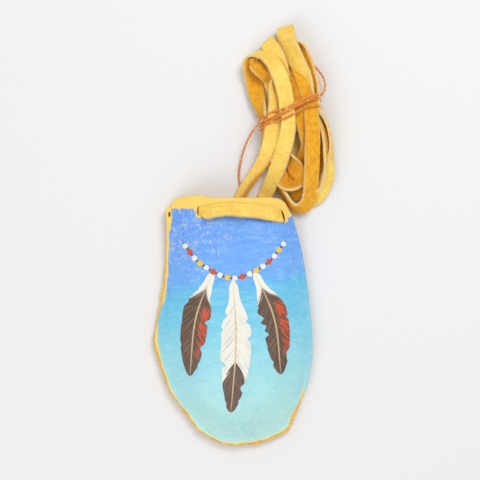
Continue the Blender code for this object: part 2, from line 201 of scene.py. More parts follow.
# The painted front: blue above and turquoise below, worn off at the rim and along the raw edge
paintFinish = {
    # the ground's shades by share of its height
    "ground": ((0.00, (180, 226, 218)), (0.14, (174, 228, 225)), (0.34, (146, 215, 227)),
               (0.50, (112, 203, 227)), (0.625, (86, 187, 229)), (0.655, (86, 178, 236)),
               (0.68, (104, 168, 243)), (0.84, (95, 157, 243)), (1.00, (84, 145, 239))),
    "bottom": -40 * mm,
    "top": 39 * mm,
    "slope": 0.10,  # how much lower the ground's shades lie on the right
    "stroke": (206, 238, 244),
    "thick": (92, 178, 228),
    "craze": (56, 126, 190),
    "pore": (72, 146, 206),
    "fine": (196, 230, 248),
    "mottle": (204, 232, 200),
    "fleck": (240, 228, 172),
    # where paint broke off the grain most: pixel, from and to how far from it, and how much
    "wear": (((186, 222), 4 * mm, 30 * mm, 0.12), ((274, 428), 3 * mm, 16 * mm, 0.085)),
    "paintEnd": 35.4 * mm,  # below the bare rim
    "bareEdge": 0.58 * mm,  # the strip along the raw edge that no paint covers
    # its changes up the pouch: from and to what height, and by how much
    "edgeSteps": ((-12 * mm, -9 * mm, 0.5 * mm), (-2.5 * mm, -0.5 * mm, -0.9 * mm),
                  (3.5 * mm, 6.5 * mm, 0.95 * mm)),
    # the paint's left end beside the seam: from and to what height, and x at both
    "seamSteps": ((23 * mm, 32 * mm, -21.2 * mm, -19.3 * mm), (19 * mm, 24 * mm, -9 * mm, 0.0)),
    # bare leather round the lace's ends and at the lower right: pixel and size
    "bareSpots": (((197.8, 208.5), 1.2 * mm), ((200.4, 214.8), 1.3 * mm), ((279, 209), 1.8 * mm),
                  ((286.5, 212), 2.0 * mm), ((284, 219), 1.3 * mm), ((292, 415), 0.7 * mm)),
}


def groundPaint(tree, x, y, strokes, pore, fine):
    wander = times(tree, minus(tree, speckle(tree, 70, 3), 0.5), 9 * mm)
    level = minus(tree, plus(tree, y, wander), times(tree, x, paintFinish["slope"]))
    share = addNode(tree, "ShaderNodeMapRange", {"Value": level, "From Min": paintFinish["bottom"],
                                                 "From Max": paintFinish["top"]}).outputs[0]
    ramp = addNode(tree, "ShaderNodeValToRGB", {0: share})
    ramp.color_ramp.interpolation = "B_SPLINE"
    stops = ramp.color_ramp.elements
    while len(stops) < len(paintFinish["ground"]):
        stops.new(0.5)
    for stop, (place, shade) in zip(stops, paintFinish["ground"]):
        stop.position = place
    for stop, (place, shade) in zip(stops, paintFinish["ground"]):
        stop.color = paintColour(*shade)

    # brush marks run across, patches of thicker and thinner paint lie between them
    patches = speckle(tree, 110, 4, 0.6)
    colour = laid(tree, paintFinish, ramp.outputs[0], ("stroke", strokes, 0.42, 0.75, 0.0, 0.23),
                  ("thick", patches, 0.5, 0.75, 0.0, 0.20))
    craze = between(tree, pits(tree, 620, "DISTANCE_TO_EDGE", (0.5, 1.5, 1)), 0.0, 0.09, 0.16, 0.0)
    colour = tint(tree, colour, paintFinish["craze"], times(tree, craze, between(tree, patches, 0.4, 0.6)))
    colour = laid(tree, paintFinish, colour, ("pore", pore, 0.05, 0.40, 0.20, 0.0),
                  ("fine", fine, 0.50, 0.66, 0.0, 0.26))
    mottle = between(tree, speckle(tree, 1300, 3), 0.46, 0.62)
    mottle = times(tree, mottle, between(tree, y, -30 * mm, 2 * mm, 0.26, 0.03))
    return tint(tree, colour, paintFinish["mottle"], mottle)


def paintFlecks(tree):
    # paint that broke off the grain shows as pale flecks
    cracks = between(tree, pits(tree, 2900, "DISTANCE_TO_EDGE", (1, 0.6, 1)), 0.03, 0.13, 1.0, 0.0)
    amount = minus(tree, speckle(tree, 820, 5, 0.72, (1, 0.7, 1)), 0.635)
    for spot, low, high, much in paintFinish["wear"]:
        amount = plus(tree, amount, between(tree, fromSpot(tree, spot), low, high, much, 0.0))
    flecks = times(tree, between(tree, amount, 0.0, 0.08), cracks)
    dust = between(tree, speckle(tree, 3300, 2), 0.66, 0.74, 0.0, 0.3)
    return times(tree, larger(tree, flecks, dust), 0.75)


def bareLeather(tree, x, y):
    # 1 where no paint covers the leather
    ragged = times(tree, minus(tree, speckle(tree, 900, 4, 0.7), 0.5), 2.2 * mm)
    bare = plus(tree, minus(tree, y, paintFinish["paintEnd"]), ragged)
    for spot, size in paintFinish["bareSpots"]:
        bare = larger(tree, bare, minus(tree, plus(tree, ragged, size), fromSpot(tree, spot)))
    seam = minus(tree, times(tree, ragged, 0.45), x)
    for step in paintFinish["seamSteps"]:
        seam = plus(tree, seam, between(tree, y, *step))
    bare = larger(tree, bare, seam)
    fromEdge = addNode(tree, "ShaderNodeAttribute", attribute_name="fromEdge").outputs["Fac"]
    edge = minus(tree, paintFinish["bareEdge"], fromEdge)
    for low, high, change in paintFinish["edgeSteps"]:
        edge = plus(tree, edge, between(tree, y, low, high, 0.0, change))
    edge = plus(tree, edge, times(tree, ragged, 0.5))
    return between(tree, larger(tree, bare, edge), 0.0, 0.12 * mm)


def paintedLeather():
    material, tree = newMaterial("paintedLeather", 0.48)
    x, y = addNode(tree, "ShaderNodeSeparateXYZ", {0: places(tree)}).outputs[:2]
    strokes = speckle(tree, 420, 4, 0.65, (0.35, 1.6, 1))
    pore = pits(tree, 1 / leatherFinish["poreSize"])
    fine = speckle(tree, 2600, 4)
    bare = bareLeather(tree, x, y)
    colour = groundPaint(tree, x, y, strokes, pore, fine)
    colour = tint(tree, colour, paintFinish["fleck"], paintFlecks(tree))
    tan = laid(tree, leatherFinish, leatherFinish["tan"], ("tanDeep", fine, 0.5, 0.7, 0.0, 0.5),
               ("tanDeep", pore, 0.08, 0.36, 0.35, 0.0))
    height = plus(tree, between(tree, pore, 0.05, 0.45, 0.0, 0.5), times(tree, fine, 0.5))
    height = minus(tree, plus(tree, height, times(tree, strokes, 0.4)), times(tree, bare, 0.5))
    roughness = tree.nodes["Principled BSDF"].inputs["Roughness"]
    tree.links.new(between(tree, bare, 0, 1, 0.48, 0.7), roughness)
    return coat(material, tint(tree, colour, tan, bare), height, 0.10 * mm, 0.6)


# The lace: smooth grain on one face, suede on the other and pale cut edges
laceFinish = {
    "grain": (253, 222, 108),
    "grainWarm": (246, 206, 88),
    "grainDeep": (240, 188, 56),
    # painted shade laid into the low creases of the smooth face
    "creasesAndShade": (230, 176, 76),
    "pore": (216, 154, 34),
    "streak": (236, 176, 52),
    "suede": (248, 182, 36),
    "suedeWarm": (230, 158, 22),
    "suedeDeep": (206, 132, 16),
    "nap": (252, 206, 120),
    "sheen": (255, 226, 150),
    "edge": (240, 220, 164),
    "edgeFibre": (212, 180, 112),
    "edgeStain": (244, 188, 70),
    "edgeDark": (176, 146, 84),
}


def laceGrain():
    material, tree = newMaterial("laceGrain", 0.55)
    pore = pits(tree, 2100)
    fine = speckle(tree, 2600, 4)
    broad = speckle(tree, 210, 3)
    # the map runs across the lace and along it, in mm
    strip = addNode(tree, "ShaderNodeUVMap", uv_map="strip").outputs[0]
    creasesAndShade = between(tree, speckle(tree, 1.0, 4, 0.5, (0.45, 1.7, 1), strip, 0.8), 0.40, 0.56)
    streak = between(tree, speckle(tree, 1.0, 3, 0.5, (1.5, 0.11, 1), strip), 0.47, 0.64)
    streak = times(tree, streak, between(tree, speckle(tree, 52, 2), 0.42, 0.60, 0.0, 0.55))
    # the creases' low places are darkened with a painted shade, besides the relief that they give
    colour = laid(tree, laceFinish, laceFinish["grain"], ("grainWarm", broad, 0.34, 0.7),
                  ("grainDeep", fine, 0.50, 0.72, 0.0, 0.4), ("creasesAndShade", creasesAndShade, 0.0, 1.0, 0.30, 0.0),
                  ("pore", pore, 0.06, 0.30, 0.5, 0.0))
    colour = tint(tree, colour, laceFinish["streak"], streak)
    height = plus(tree, between(tree, pore, 0.05, 0.4, 0.0, 0.6), times(tree, fine, 0.7))
    height = plus(tree, height, times(tree, creasesAndShade, 0.7))
    return coat(material, colour, height, 0.08 * mm, 0.7)


def laceSuede():
    material, tree = newMaterial("laceSuede", 0.95)
    shader = tree.nodes["Principled BSDF"]
    shader.inputs["Sheen Weight"].default_value = 0.25
    shader.inputs["Sheen Roughness"].default_value = 0.5
    shader.inputs["Sheen Tint"].default_value = paintColour(*laceFinish["sheen"])
    nap = speckle(tree, 4200, 4, 0.75)
    broad, tips = speckle(tree, 700, 4, 0.7), speckle(tree, 5600, 2)
    colour = laid(tree, laceFinish, laceFinish["suede"], ("suedeWarm", broad, 0.42, 0.62),
                  ("suedeDeep", nap, 0.42, 0.7, 0.0, 0.7), ("nap", tips, 0.6, 0.78, 0.0, 0.6))
    return coat(material, colour, nap, 0.22 * mm, 0.9)


def laceEdge():
    material, tree = newMaterial("laceEdge", 0.9)
    fibre = speckle(tree, 3600, 4, 0.7)
    stains, gaps = speckle(tree, 620, 4, 0.7), speckle(tree, 2300, 3, 0.7)
    colour = laid(tree, laceFinish, laceFinish["edgeFibre"], ("edge", fibre, 0.36, 0.66),
                  ("edgeStain", stains, 0.46, 0.62, 0.0, 0.62), ("edgeDark", gaps, 0.56, 0.70, 0.0, 0.55))
    return coat(material, colour, fibre, 0.14 * mm, 0.8)


threadFinish = {
    "wax": (228, 138, 44),
    "waxDark": (176, 90, 26),
    # painted highlights on the thread
    "waxHighlight": (253, 198, 120),
    "stitch": (112, 52, 30),
}


def waxedThread(name, shade, shine):
    material, tree = newMaterial(name, 0.34)
    strand = speckle(tree, 2400, 3, 0.6)
    # shine sets the share of the darker strands and of the pale spots, which are painted highlights
    colour = laid(tree, threadFinish, threadFinish[shade], ("waxDark", strand, 0.35, 0.6, shine, 0.0),
                  ("waxHighlight", speckle(tree, 600, 2), 0.5, 0.7, 0.0, shine))
    return coat(material, colour, strand, 0.06 * mm, 0.6)


# The painted design on the front: a string of beads and three feathers, by picture pixels
design = {
    "brown": (98, 76, 62),
    "brownPale": (150, 120, 96),
    "brownDeep": (66, 48, 40),
    "red": (214, 82, 48),
    "cream": (236, 234, 222),
    "creamDeep": (120, 128, 150),
    "yellow": (250, 200, 56),
    "shaft": (214, 186, 140),
    "speck": (168, 138, 110),
    "lift": 0.05 * mm,  # of each coat above the leather
    "string": ((183, 243), (200, 263), (233, 278), (266, 264), (286, 241)),
    "stringStep": 0.4 * mm,
    "lineWidth": 0.55 * mm,
    "beadSize": 1.75 * mm,
    "beadGap": 2.5 * mm,
    "beadOrder": ("cream", "red", "cream", "yellow"),
    "featherStep": 0.5 * mm,
    # quill end, a place on the way, tip, width in mm and kind
    "feathers": (((233, 279), (236, 340), (231, 412), 9.6, "paleFeather"),
                 ((213, 271), (196, 318), (190, 376), 8.8, "darkFeather"),
                 ((254, 271), (274, 318), (281, 374), 8.8, "darkFeather")),
}


def plainPaint(name, shade):
    material, tree = newMaterial(name, 0.42)
    worn = speckle(tree, 2600, 3)
    darker = tuple(0.72 * c for c in design[shade])
    colour = tint(tree, design[shade], darker, between(tree, worn, 0.48, 0.70, 0.0, 0.35))
    return coat(material, colour, worn, 0.06 * mm, 0.6)


def featherPaint(name, shade, shadow, tipStart, redShare):
    # the map runs across the vane from -1 to 1 and along it from the quill to the tip
    material, tree = newMaterial(name, 0.45)
    vane = addNode(tree, "ShaderNodeUVMap", uv_map="vane").outputs[0]
    across, along = addNode(tree, "ShaderNodeSeparateXYZ", {0: vane}).outputs[:2]
    side = addNode(tree, "ShaderNodeMath", {0: across}, operation="ABSOLUTE").outputs[0]
    barb = minus(tree, along, times(tree, side, 0.14))
    inputs = {0: times(tree, across, 1.2), 1: times(tree, barb, 46.0)}
    spot = addNode(tree, "ShaderNodeCombineXYZ", inputs).outputs[0]
    streak, ragged = speckle(tree, 1.0, 3, 0.5, spot=spot), speckle(tree, 0.6, 2, 0.5, spot=spot)
    raggedBarb = plus(tree, barb, times(tree, minus(tree, ragged, 0.5), 0.16))
    tip = between(tree, raggedBarb, tipStart - 0.01, tipStart + 0.01) if tipStart else 1.0
    lines = times(tree, between(tree, streak, 0.52, 0.64, 0.0, 0.5), tip)
    colour = tint(tree, tint(tree, design[shade], design["brown"], tip), design["brownPale"], lines)
    colour = laid(tree, design, colour, (shadow, streak, 0.36, 0.50, 0.3, 0.0))
    # red strokes down the right half
    red = times(tree, between(tree, across, 0.25, 0.45), between(tree, streak, 0.44, 0.54))
    red = times(tree, red, between(tree, along, 0.30, 0.40))
    red = times(tree, red, between(tree, along, 0.72, 0.86, redShare, 0.0))
    # over them the fluff at the quill end, the pale shaft and specks
    colour = laid(tree, design, tint(tree, colour, design["red"], red),
                  ("cream", raggedBarb, 0.13, 0.19, 1.0, 0.0), ("shaft", side, 0.04, 0.075, 0.85, 0.0),
                  ("speck", speckle(tree, 2900, 3), 0.58, 0.72, 0.0, 0.4))
    return coat(material, colour, streak, 0.08 * mm, 0.6)


print("stage: materials")
materials = {
    "tan": tanLeather(),
    "cut": cutLeather(),
    "paint": paintedLeather(),
    "grain": laceGrain(),
    "suede": laceSuede(),
    "edge": laceEdge(),
    "thread": waxedThread("waxedThread", "wax", 0.5),
    "stitch": waxedThread("darkStitch", "stitch", 0.0),
    "darkFeather": featherPaint("darkFeather", "brown", "brownDeep", 0.0, 0.9),
    "paleFeather": featherPaint("paleFeather", "cream", "creamDeep", 0.62, 0.0),
    "cream": plainPaint("creamPaint", "cream"),
    "red": plainPaint("redPaint", "red"),
    "yellow": plainPaint("yellowPaint", "yellow"),
    "line": plainPaint("linePaint", "brown"),
}


def meshPiece(name, points, faces, finishes, faceFinishes=None):
    # faceFinishes numbers each face's one among the finishes
    mesh = bpy.data.meshes.new(name)
    mesh.from_pydata([tuple(p) for p in points], [], [tuple(int(i) for i in f) for f in faces])
    for finish in finishes:
        mesh.materials.append(materials[finish])
    if faceFinishes is not None:
        mesh.polygons.foreach_set("material_index", np.asarray(faceFinishes, dtype=np.int32))
    mesh.shade_smooth()
    mesh.update()
    piece = bpy.data.objects.new(name, mesh)
    bpy.context.collection.objects.link(piece)
    return piece


def outward(piece, split=False):
    # turns all faces outward, and splits those of many corners if asked to
    bm = bmesh.new()
    bm.from_mesh(piece.data)
    if split:
        bmesh.ops.triangulate(bm, faces=[f for f in bm.faces if len(f.verts) > 4])
    bmesh.ops.recalc_face_normals(bm, faces=bm.faces)
    bm.to_mesh(piece.data)
    bm.free()
    return piece


def softStretch(p1, leave, p2, arrive, t):
    # the place at share t of a curve from p1 to p2 that leaves and arrives in the given ways
    t2, t3 = t * t, t * t * t
    far = 3 * t2 - 2 * t3
    return p1 * (1 - far) + leave * (t3 - 2 * t2 + t) + p2 * far + arrive * (t3 - t2)


def lengthsAlong(rows):
    # how far along the route each row lies
    return np.concatenate([[0], np.cumsum(np.linalg.norm(np.diff(rows[:, :3], axis=0), axis=1))])


def smoothRoute(knots, step, rounds=0):
    # a smooth curve through rows of numbers whose first three are a place, at even steps
    knots = np.asarray(knots, float)
    ends = np.vstack([2 * knots[0] - knots[1], knots, 2 * knots[-1] - knots[-2]])
    rows = []
    for i in range(1, len(ends) - 2):
        p0, p1, p2, p3 = ends[i - 1:i + 3]
        d0, d1, d2 = (max(np.linalg.norm(gap[:3]), 1e-7) ** 0.5 for gap in (p1 - p0, p2 - p1, p3 - p2))
        leave = (p2 - p1) + d1 * ((p1 - p0) / d0 - (p2 - p0) / (d0 + d1))
        arrive = (p2 - p1) + d1 * ((p3 - p2) / d2 - (p3 - p1) / (d1 + d2))
        rows += [softStretch(p1, leave, p2, arrive, t) for t in np.linspace(0, 1, 24, endpoint=False)]
    rows.append(knots[-1])
    rows = np.array(rows)
    lengths = lengthsAlong(rows)
    even = np.linspace(0, lengths[-1], int(lengths[-1] / step) + 1)
    rows = np.stack([np.interp(even, lengths, rows[:, k]) for k in range(rows.shape[1])], axis=1)
    for _ in range(rounds):
        rows[1:-1] = (rows[:-2] + 2 * rows[1:-1] + rows[2:]) / 4
    return rows


def noiseAt(points, scale, seed):
    return np.array([noise.noise(Vector((p[0] * scale + seed, p[1] * scale - seed, p[2] * scale + 2 * seed)))
                     for p in points])


def noiseOver(grid, scaleX, scaleY, seed):
    flat = ((p[0] * scaleX, p[1] * scaleY, seed) for row in grid for p in row)
    return np.array([noise.noise(Vector(p)) for p in flat]).reshape(grid.shape[:2])


# The pouch: one sheet of leather, folded on the right, stuck down the left and round the bottom
print("stage: pouch")
pouch = {
    "width": 50.6 * mm,
    "length": 79.3 * mm,
    "depth": 11.0 * mm,
    "leather": 1.2 * mm,
    "gape": 6.4 * mm,  # between the walls in the middle of the mouth
    "edgeLift": 1.0 * mm,
    "laceRoom": 2.0 * mm,  # below the back at the mouth, for the lace that runs there
    "glue": 2.4 * mm,  # width of the stuck strip inside the raw edges
    "sideRise": 16.0 * mm,
    "bottomRise": 19.0 * mm,
    "backRise": 7.0 * mm,
    "foldStart": 0.17,  # share of the length where the raw edge on the right becomes the fold
    "mouthStart": 0.80,
    "ripple": 0.30 * mm,
    "ripples": 4.5,  # across the mouth
    "layerStep": 0.78 * mm,  # the back layer shows this far outside the front one
    "cornerStep": 0.6 * mm,  # and this much further round the lower right corner
    # small bumps and nicks of the cut edge: pixel, size and reach
    "nibs": (((236.5, 443.6), 1.5 * mm, 0.55 * mm), ((257.5, 442.6), 2.8 * mm, 0.5 * mm),
             ((176, 400), 1.6 * mm, -0.3 * mm), ((184, 411), 2.0 * mm, 0.25 * mm)),
    "ragged": 0.16 * mm,
    "rim": 0.22 * mm,  # the rounded edge at the mouth
    # the cut edges in steps from their lower to their upper face: reach in mm and share of the thickness
    "backEdge": ((0.06, 0.18), (0.14, 0.5), (0.10, 0.85), (-0.06, 1.0)),
    "frontEdge": ((0.02, 0.2), (0.12, 0.5), (0.08, 0.82)),
    "sharp": 1.1,  # angle of the corners that stay sharp
    "columns": 110,
    "rows": 170,
    # the slits: place, half width, half length and shift to the right in mm, and tilt
    "slits": ((0.272, 0.944), (0.888, 0.926)),
    "slitSizes": ((0.5, 1.5, 0.0), (0.75, 2.1, 0.3)),
    "slitTilt": (0.0, 0.27),
    # the outline, by shares of half the width and half the length
    "leftSide": ((-0.43, -0.895), (-0.63, -0.72), (-0.80, -0.565), (-0.955, -0.29), (-1.0, -0.15),
                 (-0.972, -0.05), (-0.92, 0.12), (-0.852, 0.46), (-0.832, 0.75), (-0.8396, 0.89)),
    "rightSide": ((0.712, -0.876), (0.765, -0.79), (0.91, -0.573), (0.988, -0.33), (1.0, -0.15), (0.96, 0.15),
                  (0.87, 0.55), (0.735, 0.86)),
    "bottomSide": ((-0.43, -0.895), (-0.17, -0.982), (0.05, -1.0), (0.38, -0.977), (0.60, -0.926),
                   (0.712, -0.876)),
    "mouthSide": ((-0.8396, 0.89), (-0.836, 0.9106), (-0.8134, 0.9186), (-0.7846, 0.9163), (-0.7759, 0.9226),
                  (-0.7734, 0.937), (-0.7495, 0.957), (-0.7058, 0.976), (-0.62, 0.991), (-0.47, 1.0),
                  (-0.38, 0.998), (-0.25, 0.982), (0.06, 0.98), (0.56, 0.98), (0.655, 0.95), (0.70, 0.905),
                  (0.735, 0.86)),
}
leatherSlots = ("tan", "cut", "paint")


def sideCurve(points, shares):
    # places along a smooth curve through the points, by share of its chord length
    points = np.asarray(points, float)
    spans = np.linalg.norm(np.diff(points, axis=0), axis=1)
    ends = np.vstack([2 * points[0] - points[1], points, 2 * points[-1] - points[-2]])
    result = []
    for share in np.atleast_1d(shares):
        left = min(max(share, 0.0), 1.0) * spans.sum()
        i = 0
        while i < len(spans) - 1 and left > spans[i]:
            left -= spans[i]
            i += 1
        p0, p1, p2, p3 = ends[i:i + 4]
        leave = (p2 - p0) * (spans[i] / (spans[i] + np.linalg.norm(p1 - p0)))
        arrive = (p3 - p1) * (spans[i] / (spans[i] + np.linalg.norm(p3 - p2)))
        result.append(softStretch(p1, leave, p2, arrive, left / spans[i]))
    return np.array(result)


def outlineAt(us, vs):
    # a grid of places on the flat sheet: u from the left seam to the fold, v from the bottom to the mouth
    u, v = np.asarray(us)[None, :, None], np.asarray(vs)[:, None, None]
    bottomSide, mouthSide = np.array(pouch["bottomSide"]), np.array(pouch["mouthSide"])
    bottom, top = (sideCurve(side, us)[None, :, :] for side in (bottomSide, mouthSide))
    left, right = (sideCurve(pouch[side], vs)[:, None, :] for side in ("leftSide", "rightSide"))
    lowCorners, highCorners = (side[0] * (1 - u) + side[-1] * u for side in (bottomSide, mouthSide))
    flat = (bottom - lowCorners) * (1 - v) + (top - highCorners) * v + left * (1 - u) + right * u
    return flat * np.array([pouch["width"] / 2, pouch["length"] / 2])


def shoulder(x):
    return np.sin(pi / 2 * np.clip(x, 0, 1))


def softRise(x):
    return shoulder(x) ** 1.45


def foldedAt(v):
    # 0 where the right side is a raw edge, 1 where it is the leather's fold
    return smoothStep(pouch["foldStart"] - 0.08, pouch["foldStart"] + 0.05, v)


def bulge(v):
    # how far the fold's curve reaches outside its layers
    return pouch["leather"] * foldedAt(v) * (1 - 0.75 * smoothStep(0.93, 1.0, v))


def walls(us, vs):
    # the outer faces of the back wall and of the front wall, as grids of points, rows along v
    us, vs = np.asarray(us, float), np.asarray(vs, float)
    u, v = us[None, :], vs[:, None]
    start = outlineAt([0.0], vs)
    width = np.linalg.norm(outlineAt([1.0], vs)[:, 0] - start[:, 0], axis=1)[:, None]
    height = np.linalg.norm(outlineAt(us, [1.0])[0] - outlineAt(us, [0.0])[0], axis=1)[None, :]
    flat = start + (outlineAt(us, vs) - start) * (1 - bulge(v) / width)[:, :, None]
    flat[:, :, 1] -= pouch["rim"] * smoothStep(0.9, 1.0, v)
    left, right, bottom = u * width, (1 - u) * width, v * height

    # the back sags to the table, but not at its edges and over the lace
    mouth = pouch["mouthStart"]
    seam = pouch["edgeLift"] + (pouch["laceRoom"] - pouch["edgeLift"]) * smoothStep(mouth, 0.9, v)
    seam = seam * np.ones_like(u)
    sunk = shoulder(left / pouch["backRise"]) * shoulder(right / pouch["backRise"])
    sunk = sunk * shoulder(bottom / pouch["backRise"]) * (1 - smoothStep(mouth - 0.08, 0.9, v))
    back = np.dstack([flat, seam * (1 - smoothStep(0, 0.97, sunk))])

    # the front rises to a crown and gathers in small ripples towards the mouth
    raised = softRise(left / pouch["sideRise"]) * shoulder(right / pouch["sideRise"])
    raised = raised * softRise(bottom / pouch["bottomRise"])
    floor = seam + 2 * pouch["leather"]
    crown = pouch["depth"] + (floor + pouch["gape"] - pouch["depth"]) * smoothStep(mouth - 0.1, 1, v)
    ripples = pouch["ripple"] * np.cos(2 * pi * pouch["ripples"] * u + 0.6) * smoothStep(0.55, 0.92, v)
    front = np.dstack([flat, floor + (crown - floor + ripples) * raised])

    # the front layer's edge lies inside the back's along the seam and round the bottom
    corner = pouch["cornerStep"] * smoothStep(0.55, 0.85, u) * (1 - smoothStep(0.02, 0.20, v))
    step = pouch["layerStep"] * (0.75 + 0.2 * np.sin(v * 21 + u * 13) + 0.12 * np.sin(v * 67 + u * 41))
    step = step + corner * (0.85 + 0.25 * np.sin(u * 31))
    step = step * (1 - 0.9 * smoothStep(mouth, 0.98, v))
    nearest = np.minimum(np.minimum(left, bottom), right + 8 * mm * foldedAt(v))
    fade = 1 - smoothStep(0, 6 * mm, nearest)
    front[:, :, :2] += inwardAt(flat) * (step * fade)[:, :, None]
    return back, front


def inwardAt(flat):
    # the way to the pouch's middle
    return -flat / (np.linalg.norm(flat, axis=2, keepdims=True) + 1e-9)


def gridNormals(grid):
    normals = np.cross(np.gradient(grid, axis=1), np.gradient(grid, axis=0))
    return normals / (np.linalg.norm(normals, axis=2, keepdims=True) + 1e-12)


def eased(count, pull):
    # even steps from 0 to 1, drawn towards both ends
    s = np.linspace(0, 1, count)
    return (1 - pull) * s + pull * (1 - np.cos(pi * s)) / 2


def wanderingEdge(grid, us, vs):
    # the hand-cut outline wanders a little
    flat = grid[:, :, :2]
    wander = 0.6 * noiseOver(flat, 420, 420, 3.1) + 0.4 * noiseOver(flat, 1300, 1300, 7.7)
    width = np.linalg.norm(flat[:, -1] - flat[:, 0], axis=1)[:, None]
    edge = np.minimum(us[None, :] * width, vs[:, None] * pouch["length"])
    edge = np.minimum(edge, np.where(vs[:, None] < 0.12, (1 - us[None, :]) * width, 1))
    keep = 1 - smoothStep(0, 2.5 * mm, edge)
    inward = inwardAt(flat)
    flat += inward * (wander * keep * pouch["ragged"] * 2)[:, :, None]
    for spot, size, reach in pouch["nibs"]:
        near = np.linalg.norm(flat - np.array(at(*spot))[:2], axis=2) / (size / 2)
        flat -= inward * (np.exp(-near ** 2) * reach * 0.9)[:, :, None]


def edgeLayers(walk, back, front, vs):
    # the edge in steps from the back's outer face to the front's: two cut edges, or the fold's curve
    lastColumn = pouch["columns"] - 1
    thick = pouch["leather"]
    lows = np.array([back[j, i] for j, i in walk])
    highs = np.array([front[j, i] for j, i in walk])
    ahead = np.gradient(lows[:, :2], axis=0)
    out = np.stack([ahead[:, 1], -ahead[:, 0]], axis=1)
    out /= np.linalg.norm(out, axis=1, keepdims=True) + 1e-12
    out *= np.where((out * lows[:, :2]).sum(axis=1) < 0, -1, 1)[:, None]
    out = np.hstack([out, np.zeros((len(out), 1))])
    foldShare = np.array([foldedAt(vs[j]) if i == lastColumn else 0.0 for j, i in walk])[:, None]
    reachOut = np.array([bulge(vs[j]) if i == lastColumn else 0.0 for j, i in walk])[:, None]
    fibre = noiseAt(lows, 1700, 4.0)[:, None] * 0.10 * mm
    layers = []
    for reach, share in pouch["backEdge"]:
        layers.append(lows + out * (reach * mm + fibre) + np.array([0, 0, thick * share]))
    shelf = highs - out * 0.10 * mm  # the back's inner face, where it shows outside the front's edge
    shelf[:, 2] = lows[:, 2] + thick * 1.04
    layers.append(shelf)
    for reach, share in pouch["frontEdge"]:
        layer = highs + out * (reach * mm - fibre)
        layer[:, 2] = highs[:, 2] - thick * (1 - share)
        layers.append(layer)
    for k, turn in enumerate(np.linspace(0, pi, len(layers) + 2)[1:-1]):
        fold = lows * (1 + cos(turn)) / 2 + highs * (1 - cos(turn)) / 2 + out * reachOut * sin(turn)
        layers[k] = layers[k] * (1 - foldShare) + fold * foldShare
    return np.array(layers), foldShare[:, 0]


def addGrid(shell, grid, fromEdge=None):
    # adds a grid of points and gives their numbers
    start, shape = len(shell["points"]), grid.shape[:2]
    count = shape[0] * shape[1]
    shell["points"].extend(grid.reshape(-1, 3).tolist())
    shell["fromEdge"].extend([1.0] * count if fromEdge is None else fromEdge.ravel().tolist())
    return np.arange(start, start + count).reshape(shape)


def addFace(shell, slot, *corners):
    shell["faces"].append(corners)
    shell["slots"].append(leatherSlots.index(slot))


def addQuads(shell, slot, ids, flip=False):
    for j in range(ids.shape[0] - 1):
        for i in range(ids.shape[1] - 1):
            quad = (ids[j, i], ids[j, i + 1], ids[j + 1, i + 1], ids[j + 1, i])
            addFace(shell, slot, *(quad[::-1] if flip else quad))


